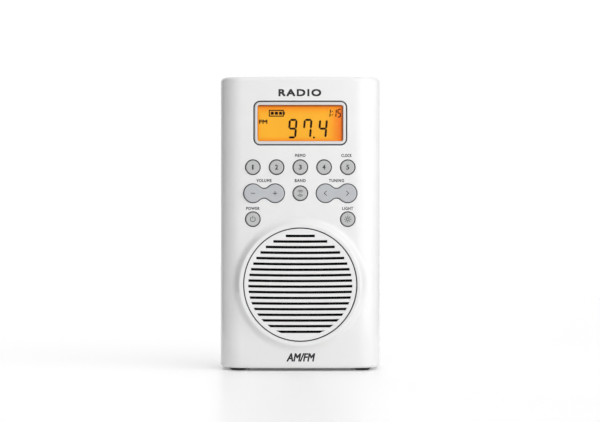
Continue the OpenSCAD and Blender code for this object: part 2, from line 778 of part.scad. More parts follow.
module voice_coil() {
    color("peru") {
        speaker_ring(coil_r, coil_r + 0.15, -24.6, magnet_y + 1);
        speaker_ring(coil_r + 0.15, coil_r + 0.32, top_plate_y - 0.6, magnet_y + 0.8);
    }
}

// ---- Main board and aerial -----------------------------------------------------------------

module main_board() {
    color("darkgreen") difference() {
        translate([-50, main_y, 100]) cube([100, main_t, 102]);
        for (b = main_bosses) rod_along_y(b[0], b[1], screw_r + 0.3, main_y - over, main_y + main_t + over);
    }
}

module tuner_shield() {
    color("silver") difference() {
        translate([-34, main_y - 8, 160]) cube([34, 8, 30]);
        translate([-33.6, main_y - 7.6, 160.4]) cube([33.2, 9, 29.2]);
    }
}

module amplifier_chip() {
    color("#202020") {
        translate([14, main_y - 2, 118]) cube([10, 2, 8]);
        for (s = [-1, 1], i = [0:6])
            translate([14.6 + i * 1.4, main_y - 1, 122 + s * 5 - 1]) cube([0.5, 1, 2]);
    }
}

module board_capacitors() {
    color("navy") {
        for (x = [22, 32, 42]) rod_along_y(x, 142, 4, main_y - 12, main_y);
        for (x = [8, 18]) rod_along_y(x, 172, 2.5, main_y - 7, main_y);
    }
}

module ferrite_rod() {
    color("#303030") translate([-rod_len / 2, rod_y, rod_z]) rotate([0, 90, 0])
        cylinder(r = rod_r, h = rod_len);
}

module antenna_coils() {
    color("peru") for (x = [-40, 18]) translate([x, rod_y, rod_z]) rotate([0, 90, 0]) difference() {
        cylinder(r = rod_r + 1.2, h = 20);
        translate([0, 0, -over]) cylinder(r = rod_r + 0.1, h = 22);
    }
}

// Two saddles that hang the ferrite rod from the rear shell's back wall
module antenna_clips() {
    color("ivory") for (x = [-13, 9]) difference() {
        union() {
            translate([x, rod_y, rod_z]) rotate([0, 90, 0]) cylinder(r = rod_r + 2, h = 5);
            translate([x, rod_y, rod_z - 2]) cube([5, back_y - wall - rod_y - 0.1, 4]);
        }
        translate([x - over, rod_y, rod_z]) rotate([0, 90, 0]) cylinder(r = rod_r + 0.1, h = 7);
    }
}

// ---- Batteries -----------------------------------------------------------------------------

// A D cell; the nub is at its top, or at its foot when it is turned over
module cell(x, flip) {
    low = bay_floor_z + plate_t;
    z = flip ? low + cell_len + nub_h : low + spring_h;
    color("steelblue") translate([x, cell_y, z]) rotate([flip ? 180 : 0, 0, 0]) rotate_extrude()
        polygon([[0, 0], [cell_r - 1, 0], [cell_r, 1], [cell_r, cell_len - 1.5], [cell_r - 1.5, cell_len],
                 [4.75, cell_len], [4.75, cell_len + nub_h], [0, cell_len + nub_h]]);
}

module battery_cell_left() { cell(-cell_pitch, false); }
module battery_cell_middle() { cell(0, true); }
module battery_cell_right() { cell(cell_pitch, false); }

// A conical contact spring, as a helical sweep
module contact_spring(h) {
    turns = 3;
    ring = 6;
    steps = 36;
    wire = 0.5;
    r_base = 8;
    r_tip = 4.5;
    function centre(t) = let (r = r_base + (r_tip - r_base) * t, a = 360 * turns * t)
        [r * cos(a), r * sin(a), wire + (h - 2 * wire) * t];
    points = [for (i = [0:steps]) let (t = i / steps, c = centre(t), a = 360 * turns * t)
        for (k = [0:ring - 1]) let (b = 360 * k / ring)
            [c[0] + wire * cos(b) * cos(a), c[1] + wire * cos(b) * sin(a), c[2] + wire * sin(b)]];
    sides = [for (i = [0:steps - 1], k = [0:ring - 1]) let (n = (k + 1) % ring)
        [i * ring + k, i * ring + n, (i + 1) * ring + n, (i + 1) * ring + k]];
    ends = [[for (k = [ring - 1:-1:0]) k], [for (k = [0:ring - 1]) steps * ring + k]];
    polyhedron(points, concat(sides, ends));
}

// Contact plates stand on the bay's floor and hang from its ceiling
module battery_contacts() {
    color("silver") {
        for (x = [-cell_pitch, 0, cell_pitch]) {
            translate([x - 9, cell_y - 9, bay_floor_z]) cube([18, 18, plate_t]);
            translate([x - 9, cell_y - 9, bay_top_z - plate_t]) cube([18, 18, plate_t]);
        }
        translate([-cell_pitch + 9, cell_y - 3, bay_floor_z]) cube([cell_pitch - 18, 6, plate_t]);
        translate([9, cell_y - 3, bay_top_z - plate_t]) cube([cell_pitch - 18, 6, plate_t]);
    }
}

module battery_springs() {
    color("silver") {
        for (x = [-cell_pitch, cell_pitch])
            translate([x, cell_y, bay_floor_z + plate_t]) contact_spring(spring_h);
        translate([0, cell_y, bay_top_z - plate_t]) mirror([0, 0, 1]) contact_spring(spring_h);
    }
}

// The door: a panel with a stiffening frame inside, a rolled lower edge with a stub at each
// end, and a scoop at the top for a fingertip
module battery_door() {
    panel_y = back_y - door_t;
    panel_h = door_top_z - hinge_z;
    color("white") difference() {
        union() {
            translate([0, 0, door_mid_z]) along_y(panel_y, back_y)
                door_outline(door_w, panel_h, door_r - door_gap);
            translate([-roll_half_w, hinge_y, hinge_z]) rotate([0, 90, 0])
                cylinder(r = roll_edge_r, h = 2 * roll_half_w, $fn = 40);
            translate([-stub_x, hinge_y, hinge_z]) rotate([0, 90, 0])
                cylinder(r = stub_r, h = 2 * stub_x, $fn = 40);
            translate([0, 0, door_mid_z + 1]) along_y(panel_y - 1.4, panel_y + 0.1) difference() {
                polygon(rounded_rect(door_w - 16, panel_h - 12, 4));
                polygon(rounded_rect(door_w - 19, panel_h - 15, 3));
            }
        }
        translate([-11, back_y - 1.2, door_top_z - 5]) cube([22, 2, 6]);
    }
}

// A gasket on the ledge, along the door's sides and top
module door_seal() {
    color("dimgray") intersection() {
        translate([0, 0, door_mid_z]) along_y(ledge_y, ledge_y + seal_t) difference() {
            polygon(rounded_rect(door_w, 2 * (door_top_z - door_mid_z) + 0.2, door_r - door_gap));
            polygon(rounded_rect(door_w - 1.2, 2 * (door_top_z - door_mid_z) - 1, door_r - 1));
        }
        translate([-door_w, 0, hinge_z + 4]) cube([2 * door_w, 2 * back_y, 100]);
    }
}

// ---- Leads -----------------------------------------------------------------------------------

// A round lead swept along its points
module lead(path, r) {
    n = 8;
    last = len(path) - 1;
    function heading(i) = let (d = path[min(i + 1, last)] - path[max(i - 1, 0)]) d / norm(d);
    function side(i) = let (c = cross(heading(i), [1, 0, 0.2])) c / norm(c);
    points = [for (i = [0:last]) let (u = side(i), v = cross(heading(i), u))
        for (k = [0:n - 1]) path[i] + r * (cos(360 * k / n) * u + sin(360 * k / n) * v)];
    sides = [for (i = [0:last - 1], k = [0:n - 1]) let (m = (k + 1) % n)
        [i * n + k, (i + 1) * n + k, (i + 1) * n + m, i * n + m]];
    polyhedron(points, concat(sides, [[for (k = [0:n - 1]) k], [for (k = [n - 1:-1:0]) last * n + k]]));
}

module speaker_leads() { color("firebrick") for (p = SPEAKER_LEADS) lead(p, lead_r); }
module battery_leads() { color("black") for (p = BATTERY_LEADS) lead(p, lead_r); }

// ---- Nodes -----------------------------------------------------------------------------------

front_housing();
rear_housing();
housing_seal();
housing_screws();
key_seals();
base_pad();
display_bezel();
display_seal();
display_lens();
lcd_glass();
lcd_backlight();
backlight_leds();
lcd_holder();
zebra_strips();
keypad_mat();
control_board();
control_chip();
board_screws();
ribbon_cable();
speaker_grille();
grille_cloth();
speaker_gasket();
speaker_basket();
speaker_surround();
speaker_spider();
speaker_top_plate();
speaker_magnet();
speaker_yoke();
speaker_terminals();
speaker_screws();
speaker_leads();
speaker_cone();
dust_cap();
voice_coil();
main_board();
tuner_shield();
amplifier_chip();
board_capacitors();
ferrite_rod();
antenna_coils();
antenna_clips();
battery_cell_left();
battery_cell_middle();
battery_cell_right();
battery_springs();
battery_contacts();
battery_leads();
battery_door();
door_seal();
rubber_feet();
preset_button(0);  // preset_button_1
preset_button(1);  // preset_button_2
preset_button(2);  // preset_button_3
preset_button(3);  // preset_button_4
preset_button(4);  // preset_button_5
band_button();
power_button();
light_button();
volume_rocker();
tuning_rocker();
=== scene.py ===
import json
import math

import bmesh
import bpy
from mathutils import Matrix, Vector, geometry


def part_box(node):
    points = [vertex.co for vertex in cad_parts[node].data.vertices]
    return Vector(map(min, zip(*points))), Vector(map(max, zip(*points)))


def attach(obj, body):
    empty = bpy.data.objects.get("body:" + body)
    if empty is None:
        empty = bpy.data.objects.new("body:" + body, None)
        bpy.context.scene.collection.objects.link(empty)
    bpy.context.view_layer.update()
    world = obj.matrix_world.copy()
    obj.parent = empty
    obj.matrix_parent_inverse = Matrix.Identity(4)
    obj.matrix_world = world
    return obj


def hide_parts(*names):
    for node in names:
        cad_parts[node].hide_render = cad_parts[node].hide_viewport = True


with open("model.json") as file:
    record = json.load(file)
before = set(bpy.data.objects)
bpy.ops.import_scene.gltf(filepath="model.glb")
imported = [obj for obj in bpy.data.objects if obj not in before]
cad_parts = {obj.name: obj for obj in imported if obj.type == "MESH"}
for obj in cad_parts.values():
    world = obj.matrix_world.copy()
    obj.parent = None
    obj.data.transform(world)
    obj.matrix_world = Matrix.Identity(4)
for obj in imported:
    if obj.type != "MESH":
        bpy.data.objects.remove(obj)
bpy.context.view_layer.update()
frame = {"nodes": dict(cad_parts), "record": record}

# ---- Sizes, in millimetres, from the frame and from the design --------------------------------

MM = 0.001
FRONT_LO, FRONT_HI = (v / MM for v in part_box("front_housing"))
REAR_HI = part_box("rear_housing")[1] / MM
GRILLE_LO, GRILLE_HI = (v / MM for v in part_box("speaker_grille"))
BEZEL_LO, BEZEL_HI = (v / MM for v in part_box("display_bezel"))

HALF_W = FRONT_HI.x                      # half the body's width
LOW_Z = FRONT_LO.z                       # underside of the body
TOP_Z = FRONT_HI.z                       # top of the body
RING_Y = FRONT_LO.y                      # rim of the raised ring
FACE_Y = RING_Y + 3.5                    # middle of the front face
SEAM_Y = FRONT_HI.y                      # back edge of the front shell
BACK_Y = REAR_HI.y                       # the flat back
WALL = 2.6
EDGE_R, LOW_R = 4.0, 2.7                 # rounding of the top and bottom edges
CROWN_R = 600.0                          # the gently crowned front
FRONT_R = 20.0                           # plan radius of the front corners
REAR_R = 11.0                            # plan radius of the rear corners
SEAM_GAP = 0.5

SPEAKER_Z = (GRILLE_LO.z + GRILLE_HI.z) / 2
GRILLE_R = (GRILLE_HI.x - GRILLE_LO.x) / 2 - 0.15
GRILLE_GAP = 0.9
DISPLAY_Z = (BEZEL_LO.z + BEZEL_HI.z) / 2
BEZEL_W, BEZEL_H, BEZEL_R = 74.6, 34.5, 4.4
WINDOW_GAP = 1.1
KEY_R, KEY_GAP = 5.55, 0.85
LOBE_X, LOBE_R, WAIST_H, ROCKER_GAP = 9.0, 7.4, 3.7, 0.65


def centre_of(node):
    """Middle of a CAD node's box, in mm."""
    lo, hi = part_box(node)
    return (lo + hi) / 2 / MM


ROUND_KEYS = ["preset_button_1", "preset_button_2", "preset_button_3", "preset_button_4",
              "preset_button_5", "band_button", "power_button", "light_button"]
ROCKERS = ["volume_rocker", "tuning_rocker"]
KEY_AT = {name: (centre_of(name).x, centre_of(name).z) for name in ROUND_KEYS + ROCKERS}

# ---- Camera -----------------------------------------------------------------------------------

camera_data = bpy.data.cameras.new("camera")
camera_data.lens = 115.9
camera_data.sensor_width = 36
camera_data.clip_start = 0.05
camera_data.clip_end = 50
camera = bpy.data.objects.new("camera", camera_data)
camera.location = (-0.0002, -1.617, 0.1309)
camera.rotation_euler = (math.pi / 2, 0, 0)
bpy.context.collection.objects.link(camera)
bpy.context.scene.camera = camera

# ---- Materials --------------------------------------------------------------------------------


def new_material(name):
    """A node material; returns (material, nodes, links, shader)."""
    material = bpy.data.materials.new(name)
    material.use_nodes = True
    nodes, links = material.node_tree.nodes, material.node_tree.links
    shader = nodes["Principled BSDF"]
    return material, nodes, links, shader


def settle(node, **values):
    """Sets a node's inputs; an underscore in a name stands for a space."""
    for key, value in values.items():
        node.inputs[key.replace("_", " ")].default_value = value


def object_place(nodes):
    """The coordinates in the object's own metres."""
    return nodes.new("ShaderNodeTexCoord").outputs["Object"]


def map_range(nodes, links, socket, to_min=0.0, to_max=1.0, from_min=0.0, from_max=1.0, smooth=False):
    """A range mapped to another; returns its output."""
    node = nodes.new("ShaderNodeMapRange")
    if smooth:
        node.interpolation_type = "SMOOTHSTEP"
    settle(node, From_Min=from_min, From_Max=from_max, To_Min=to_min, To_Max=to_max)
    links.new(socket, node.inputs["Value"])
    return node.outputs["Result"]


def combine(nodes, links, operation, a, b):
    """Two outputs joined by a math operation."""
    node = nodes.new("ShaderNodeMath")
    node.operation = operation
    links.new(a, node.inputs[0])
    links.new(b, node.inputs[1])
    return node.outputs["Value"]


def set_stops(node, stops):
    """Gives a colour ramp its stops, as (position, colour)."""
    elements = node.color_ramp.elements
    for i, (position, colour) in enumerate(stops):
        element = elements[i] if i < 2 else elements.new(position)
        element.position = position
        element.color = (*colour, 1)


def ramp(nodes, low, high, a=0.3, b=0.7):
    """A colour ramp between two colours."""
    node = nodes.new("ShaderNodeValToRGB")
    set_stops(node, [(a, low), (b, high)])
    return node


def noise(nodes, links, scale, detail=3.0, stretch=(1, 1, 1)):
    """Noise in the object's own metres."""
    mapping = nodes.new("ShaderNodeMapping")
    settle(mapping, Scale=stretch)
    links.new(object_place(nodes), mapping.inputs["Vector"])
    node = nodes.new("ShaderNodeTexNoise")
    settle(node, Scale=scale, Detail=detail)
    links.new(mapping.outputs["Vector"], node.inputs["Vector"])
    return node


def bump(nodes, links, shader, height, strength, distance):
    """Adds a bump from a height output, after any bump that is already there."""
    node = nodes.new("ShaderNodeBump")
    settle(node, Strength=strength, Distance=distance)
    links.new(height, node.inputs["Height"])
    if shader.inputs["Normal"].links:
        links.new(shader.inputs["Normal"].links[0].from_socket, node.inputs["Normal"])
    links.new(node.outputs["Normal"], shader.inputs["Normal"])


def surface(name, colour, rough=0.4, metal=0.0, vary=0.05, grain=900.0, grain_depth=0.00002,
            mottle=60.0, coat=0.0, specular=0.5, stretch=(1, 1, 1), rough_vary=0.06):
    """A moulded, painted or metal surface: slow colour variation, fine grain and uneven gloss."""
    material, nodes, links, shader = new_material(name)
    low = tuple(c * (1 - vary) for c in colour)
    high = tuple(min(1.0, c * (1 + vary)) for c in colour)
    slow = noise(nodes, links, mottle, 4.0, stretch)
    tint = ramp(nodes, low, high)
    links.new(slow.outputs["Fac"], tint.inputs["Fac"])
    links.new(tint.outputs["Color"], shader.inputs["Base Color"])
    fine = noise(nodes, links, grain, 2.0, stretch)
    bump(nodes, links, shader, fine.outputs["Fac"], 0.35, grain_depth)
    gloss = map_range(nodes, links, slow.outputs["Fac"], max(0.02, rough - rough_vary),
                      min(1.0, rough + rough_vary))
    links.new(gloss, shader.inputs["Roughness"])
    settle(shader, Metallic=metal, Coat_Weight=coat, Coat_Roughness=0.04, Specular_IOR_Level=specular)
    return material


def amber_display(name):
    """The lit display: amber in the middle, deeper towards its edges, with a faint cloudy unevenness in its
    glow and a painted shadow of the bezel along its edges.
    """
    material, nodes, links, shader = new_material(name)
    split = nodes.new("ShaderNodeSeparateXYZ")
    links.new(object_place(nodes), split.inputs["Vector"])

    def spread(socket, low, high):
        return map_range(nodes, links, split.outputs[socket], from_min=low, from_max=high, smooth=True)

    def either(a, b):
        return combine(nodes, links, "MAXIMUM", a, b)

    half_h = 14.8
    right = spread("X", 0.018, 0.036)
    left = spread("X", -0.0315, -0.0365)
    low = spread("Z", (DISPLAY_Z - half_h + 4.5) * MM, (DISPLAY_Z - half_h - 1.5) * MM)
    high = spread("Z", (DISPLAY_Z + half_h - 9) * MM, (DISPLAY_Z + half_h + 2) * MM)
    edge = either(either(right, left), either(low, high))
    tint = nodes.new("ShaderNodeValToRGB")
    set_stops(tint, [(0.0, (1.0, 0.46, 0.022)), (1.0, (0.95, 0.16, 0.005)), (0.45, (1.0, 0.36, 0.012))])
    links.new(edge, tint.inputs["Fac"])
    cloud = noise(nodes, links, 55.0, 2.0)
    level = map_range(nodes, links, cloud.outputs["Fac"], 0.88, 1.0)
    top, foot = DISPLAY_Z + half_h, DISPLAY_Z - half_h
    # Painted shadow of the bezel on the display: the glow falls to about a fifth in narrow bands along its
    # edges, widest at the top and right.
    rim = either(either(spread("X", 0.0325, 0.0350), spread("X", -0.0343, -0.0352)),
                 either(spread("Z", (top - 2.2) * MM, top * MM),
                        spread("Z", (foot + 0.6) * MM, (foot - 0.3) * MM)))
    glow = combine(nodes, links, "MULTIPLY", level, map_range(nodes, links, rim, 1.0, 0.22))
    links.new(tint.outputs["Color"], shader.inputs["Emission Color"])
    links.new(glow, shader.inputs["Emission Strength"])
    settle(shader, Base_Color=(0.05, 0.025, 0.005, 1), Roughness=0.35, Specular_IOR_Level=0.1)
    return material


def waves(nodes, links, axis, pitch, distortion):
    """Even bands along an axis, pitch metres apart."""
    wave = nodes.new("ShaderNodeTexWave")
    wave.bands_direction = axis
    settle(wave, Scale=0.314 / pitch, Distortion=distortion)
    links.new(object_place(nodes), wave.inputs["Vector"])
    return wave


def shade_hollows(nodes, links, shader, value, colour, dark, high):
    """Base colour from dark to full along a value: painted shade where the value, a bump height, is low."""
    tint = ramp(nodes, tuple(c * dark for c in colour), colour, 0.1, high)
    links.new(value, tint.inputs["Fac"])
    links.new(tint.outputs["Color"], shader.inputs["Base Color"])


def woven(name, colour, pitch, depth=0.0001, rough=0.9):
    """Cloth: two sets of waves at right angles, with painted shade where the weave dips between its threads.
    """
    material, nodes, links, shader = new_material(name)
    heights = []
    for axis in ("X", "Z"):
        wave = waves(nodes, links, axis, pitch, 0.6)
        wave.inputs["Detail Scale"].default_value = 3.0
        heights.append(wave.outputs["Fac"])
    both = combine(nodes, links, "MULTIPLY", *heights)
    shade_hollows(nodes, links, shader, both, colour, 0.4, 0.8)
    bump(nodes, links, shader, both, 0.6, depth)
    settle(shader, Roughness=rough, Specular_IOR_Level=0.1)
    return material


def clear_sheet(name):
    """Thin clear acrylic, with faint dust."""
    material, nodes, links, shader = new_material(name)
    dust = noise(nodes, links, 700.0, 4.0)
    links.new(map_range(nodes, links, dust.outputs["Fac"], 0.02, 0.07), shader.inputs["Roughness"])
    settle(shader, Base_Color=(0.98, 0.98, 0.98, 1), Transmission_Weight=1.0, Specular_IOR_Level=0.12,
           IOR=1.2)
    return material


def printed_board(name):
    """Green solder mask over copper tracks."""
    material, nodes, links, shader = new_material(name)
    tracks = nodes.new("ShaderNodeTexBrick")
    settle(tracks, Scale=190.0, Mortar_Size=0.06, Color1=(0.010, 0.115, 0.035, 1),
           Color2=(0.008, 0.085, 0.026, 1), Mortar=(0.030, 0.210, 0.060, 1))
    turned = nodes.new("ShaderNodeMapping")
    settle(turned, Rotation=(math.pi / 2, 0, 0))
    links.new(object_place(nodes), turned.inputs["Vector"])
    links.new(turned.outputs["Vector"], tracks.inputs["Vector"])
    links.new(tracks.outputs["Color"], shader.inputs["Base Color"])
    bump(nodes, links, shader, tracks.outputs["Fac"], 0.4, 0.00005)
    fine = noise(nodes, links, 1500.0)
    bump(nodes, links, shader, fine.outputs["Fac"], 0.2, 0.00001)
    settle(shader, Roughness=0.32, Coat_Weight=0.3)
    return material


def wound(name, colour, pitch):
    """Enamelled wire, wound in close turns along X, with painted shade in the grooves between the turns."""
    material, nodes, links, shader = new_material(name)
    wave = waves(nodes, links, "X", pitch, 0.4)
    shade_hollows(nodes, links, shader, wave.outputs["Fac"], colour, 0.35, 0.7)
    bump(nodes, links, shader, wave.outputs["Fac"], 0.7, 0.0001)
    settle(shader, Metallic=0.8, Roughness=0.3)
    return material


def cell_wrapper(name):
    """A printed wrap over a steel can: a dark body, a copper shoulder and bare metal at the nub."""
    material, nodes, links, shader = new_material(name)
    split = nodes.new("ShaderNodeSeparateXYZ")
    links.new(object_place(nodes), split.inputs["Vector"])
    bands = nodes.new("ShaderNodeValToRGB")
    bands.color_ramp.interpolation = "CONSTANT"
    bare = (0.55, 0.55, 0.53)
    set_stops(bands, [(0.0, bare), (0.03, (0.012, 0.030, 0.095)), (0.70, (0.62, 0.33, 0.13)), (0.955, bare)])
    along = map_range(nodes, links, split.outputs["Z"], from_min=0.0165, from_max=0.0840)
    links.new(along, bands.inputs["Fac"])
    links.new(bands.outputs["Color"], shader.inputs["Base Color"])
    scuffs = noise(nodes, links, 350.0, 5.0, (1, 1, 0.2))
    bump(nodes, links, shader, scuffs.outputs["Fac"], 0.25, 0.00003)
    links.new(map_range(nodes, links, scuffs.outputs["Fac"], 0.22, 0.40), shader.inputs["Roughness"])
    settle(shader, Metallic=0.55)
    return material


MATERIALS = {}


def add(maker, name, *values, **options):
    """Makes a material and keeps it under its name."""
    MATERIALS[name] = maker(name, *values, **options)


add(surface, "white_housing", (0.76, 0.76, 0.758), 0.32, vary=0.012, grain=1400, grain_depth=0.000006,
    coat=1.0, rough_vary=0.03, specular=0.1)
add(surface, "grille_white", (0.77, 0.77, 0.768), 0.33, vary=0.012, grain=1400, grain_depth=0.000006,
    coat=0.25, rough_vary=0.03)
add(surface, "silver_bezel", (0.64, 0.635, 0.635), 0.30, vary=0.03, grain=2500, grain_depth=0.00001,
    metal=0.2)
add(surface, "dark_outline", (0.022, 0.024, 0.032), 0.55, vary=0.2)
add(clear_sheet, "clear_lens")
add(amber_display, "amber_lcd")
add(surface, "light_guide", (0.95, 0.72, 0.32), 0.4, vary=0.06)
add(surface, "led_package", (0.90, 0.86, 0.72), 0.35, vary=0.08)
add(surface, "dark_plastic", (0.025, 0.025, 0.028), 0.5, vary=0.2)
add(surface, "seal_rubber", (0.05, 0.05, 0.055), 0.7, vary=0.2, grain=1200)
add(surface, "keypad_silicone", (0.40, 0.41, 0.42), 0.65, vary=0.06, grain=1200)
add(surface, "key_grey", (0.46, 0.463, 0.466), 0.38, vary=0.025, grain=2200, grain_depth=0.00001)
add(surface, "rocker_grey", (0.445, 0.46, 0.48), 0.38, vary=0.03, grain=2200, grain_depth=0.00001)
add(printed_board, "green_board")
add(surface, "chip_black", (0.02, 0.02, 0.021), 0.55, vary=0.25, grain=2500)
add(surface, "capacitor_blue", (0.02, 0.04, 0.16), 0.3, vary=0.1)
add(surface, "ribbon_grey", (0.45, 0.47, 0.50), 0.35, vary=0.12, mottle=900.0, stretch=(1, 0.01, 0.01))
add(woven, "black_cloth", (0.012, 0.012, 0.012), 0.0006)
add(surface, "basket_steel", (0.03, 0.03, 0.032), 0.35, vary=0.2, coat=0.4)
add(surface, "surround_rubber", (0.018, 0.018, 0.018), 0.6, vary=0.2)
add(woven, "spider_cloth", (0.50, 0.30, 0.10), 0.0007)
add(surface, "cone_paper", (0.03, 0.03, 0.031), 0.9, vary=0.35, grain=500, grain_depth=0.0001, mottle=300.0)
add(wound, "copper_winding", (0.72, 0.30, 0.12), 0.0004)
add(surface, "zinc_steel", (0.58, 0.58, 0.54), 0.32, metal=1.0, vary=0.08, mottle=120.0)
add(surface, "ferrite_grey", (0.05, 0.05, 0.055), 0.6, vary=0.25, grain=600, grain_depth=0.00008)
add(surface, "phenolic_brown", (0.22, 0.09, 0.035), 0.5, vary=0.15)
add(surface, "tin_plate", (0.62, 0.62, 0.60), 0.28, metal=1.0, vary=0.06, mottle=90.0)
add(surface, "ivory_plastic", (0.75, 0.70, 0.55), 0.45, vary=0.04)
add(cell_wrapper, "cell_wrap")
add(surface, "nickel_steel", (0.66, 0.62, 0.55), 0.25, metal=1.0, vary=0.06)
add(surface, "lead_red", (0.35, 0.012, 0.010), 0.45, vary=0.08)
add(surface, "lead_black", (0.012, 0.012, 0.012), 0.45, vary=0.2)
add(surface, "foot_rubber", (0.012, 0.012, 0.013), 0.28, vary=0.2, grain=900)
# The pad under the body between the feet: a real part whose grey is also painted shade, set to darken the
# shaded gap under the body.
add(surface, "pad_grey", (0.24, 0.24, 0.245), 0.7, vary=0.06, grain=900)
add(surface, "steel_screws", (0.60, 0.60, 0.57), 0.3, metal=1.0, vary=0.08)
add(surface, "dark_print", (0.035, 0.035, 0.040), 0.6, vary=0.15, grain=3000, specular=0.2)
add(surface, "segment_ink", (0.022, 0.006, 0.003), 0.8, vary=0.3, specular=0.0)

# ---- Mesh helpers -----------------------------------------------------------------------------


def finish_piece(name, verts, faces, material, body="housing", nodes=(), slot=None, smooth=40.0):
    """Makes a mesh piece from millimetres, shades it and rides it on its body; slot is not used."""
    mesh = bpy.data.meshes.new(name)
    mesh.from_pydata([(x * MM, y * MM, z * MM) for x, y, z in verts], [], faces)
    build = bmesh.new()
    build.from_mesh(mesh)
    bmesh.ops.remove_doubles(build, verts=build.verts, dist=1e-7)
    bmesh.ops.recalc_face_normals(build, faces=build.faces)
    build.to_mesh(mesh)
    build.free()
    mesh.materials.append(MATERIALS[material])
    for face in mesh.polygons:
        face.use_smooth = True
    mesh.set_sharp_from_angle(angle=math.radians(smooth))
    piece = bpy.data.objects.new(name, mesh)
    bpy.context.collection.objects.link(piece)
    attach(piece, body)
    if nodes:
        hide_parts(*nodes)
    return piece


def join_parts(parts):
    """Adds several (verts, faces) together."""
    verts, faces = [], []
    for part_verts, part_faces in parts:
        base = len(verts)
        verts += part_verts
        faces += [tuple(i + base for i in f) for f in part_faces]
    return verts, faces


def arc(cx, cy, r, a0, a1, n):
    """Points on an arc, angles in degrees."""
    steps = [math.radians(a0 + (a1 - a0) * i / n) for i in range(n + 1)]
    return [(cx + r * math.cos(a), cy + r * math.sin(a)) for a in steps]


def rounded_rect(w, h, r, n=8):
    """A rounded rectangle about the origin, anticlockwise."""
    x, y = w / 2 - r, h / 2 - r
    return (arc(x, y, r, 0, 90, n) + arc(-x, y, r, 90, 180, n)
            + arc(-x, -y, r, 180, 270, n) + arc(x, -y, r, 270, 360, n))


def dense(loop, step):
    """A closed loop with extra points on its long sides."""
    out = []
    for (x0, y0), (x1, y1) in zip(loop, loop[1:] + loop[:1]):
        count = max(1, math.ceil(math.hypot(x1 - x0, y1 - y0) / step))
        out += [(x0 + (x1 - x0) * i / count, y0 + (y1 - y0) * i / count) for i in range(count)]
    return out


def dumbbell(gap=0.0, n=26):
    """Outline of a rocker about its pivot, moved outwards by gap."""
    arc_r = (LOBE_X ** 2 + WAIST_H ** 2 - LOBE_R ** 2) / (2 * (LOBE_R - WAIST_H))
    arc_z = arc_r + WAIST_H
    angle = math.degrees(math.atan2(arc_z, LOBE_X))
    lobe, waist = LOBE_R + gap, arc_r - gap
    return (arc(LOBE_X, 0, lobe, angle - 180, 180 - angle, n)[:-1]
            + arc(0, arc_z, waist, -angle, angle - 180, n // 2)[:-1]
            + arc(-LOBE_X, 0, lobe, angle, 360 - angle, n)[:-1]
            + arc(0, -arc_z, waist, 180 - angle, angle, n // 2)[:-1])


def circle(r, n=96):
    """A circle about the origin."""
    return arc(0, 0, r, 0, 360, n)[:-1]


def moved(loop, x, z):
    """A loop moved to x, z."""
    return [(px + x, pz + z) for px, pz in loop]


def set_at(loop, x, y, z):
    """A loop of (x, z) points, moved to x, z and set up at y."""
    return [(px + x, y, pz + z) for px, pz in loop]


def loft(loops, close_first=True, close_last=True):
    """Quads between loops of equal length, with flat ends."""
    n = len(loops[0])
    verts = [p for loop in loops for p in loop]
    faces = []
    for k in range(len(loops) - 1):
        for i in range(n):
            j = (i + 1) % n
            faces.append((k * n + i, k * n + j, (k + 1) * n + j, (k + 1) * n + i))
    if close_first:
        faces.append(tuple(range(n))[::-1])
    if close_last:
        faces.append(tuple(range((len(loops) - 1) * n, len(loops) * n)))
    return verts, faces


def lathe_y(profile, x, z, n=64, closed=False):
    """Turns (radius, y) points about an axis along Y; closed joins the last point to the first."""
    loops = [[(x + r * c, y, z + r * s) for c, s in circle(1.0, n)] for r, y in profile]
    if closed:
        return loft(loops + loops[:1], False, False)
    return loft(loops)


def lathe_z(profile, x, y, n=64):
    """Turns (radius, z) points about an axis along Z."""
    loops = [[(x + r * c, y + r * s, z) for c, s in circle(1.0, n)] for r, z in profile]
    return loft(loops)


def block(x0, x1, y0, y1, z0, z1, r=0.3, n=3):
    """A box with rounded edges along Y and softened ends."""
    cx, cz = (x0 + x1) / 2, (z0 + z1) / 2
    w, h = x1 - x0, z1 - z0
    soft = min(r, w / 2.2, h / 2.2, (y1 - y0) / 2.2)
    rows = [(soft, y0), (soft * 0.3, y0 + soft * 0.3), (0, y0 + soft), (0, y1 - soft),
            (soft * 0.3, y1 - soft * 0.3), (soft, y1)]
    loops = []
    for inset, y in rows:
        outline = rounded_rect(w - 2 * inset, h - 2 * inset, max(0.02, soft - inset * 0.9), n)
        loops.append(set_at(outline, cx, y, cz))
    return loft(loops)


def inside(loop, x, z):
    """True where a point lies within a closed loop."""
    hit = False
    for (x0, z0), (x1, z1) in zip(loop, loop[1:] + loop[:1]):
        if (z0 > z) != (z1 > z) and x < (x1 - x0) * (z - z0) / (z1 - z0) + x0:
            hit = not hit
    return hit


def triangulate(points, holes, outline=None):
    """Delaunay triangles over the points; holes are loops of indices that stay open."""
    edges = []
    rings = list(holes) + ([outline] if outline else [])
    for ring in rings:
        edges += list(zip(ring, ring[1:] + ring[:1]))
    vs, _, fs, orig, _, _ = geometry.delaunay_2d_cdt([Vector(p) for p in points], edges, [], 0, 1e-6)
    loops = [[points[i] for i in ring] for ring in holes]
    boxes = [(min(p[0] for p in lp), max(p[0] for p in lp), min(p[1] for p in lp), max(p[1] for p in lp))
             for lp in loops]
    edge_loop = [points[i] for i in outline] if outline else None
    faces = []
    for f in fs:
        cx = sum(vs[i][0] for i in f) / 3
        cz = sum(vs[i][1] for i in f) / 3
        if edge_loop and not inside(edge_loop, cx, cz):
            continue
        if any(b[0] < cx < b[1] and b[2] < cz < b[3] and inside(lp, cx, cz) for lp, b in zip(loops, boxes)):
            continue
        faces.append(tuple(orig[i][0] for i in f))
    return faces


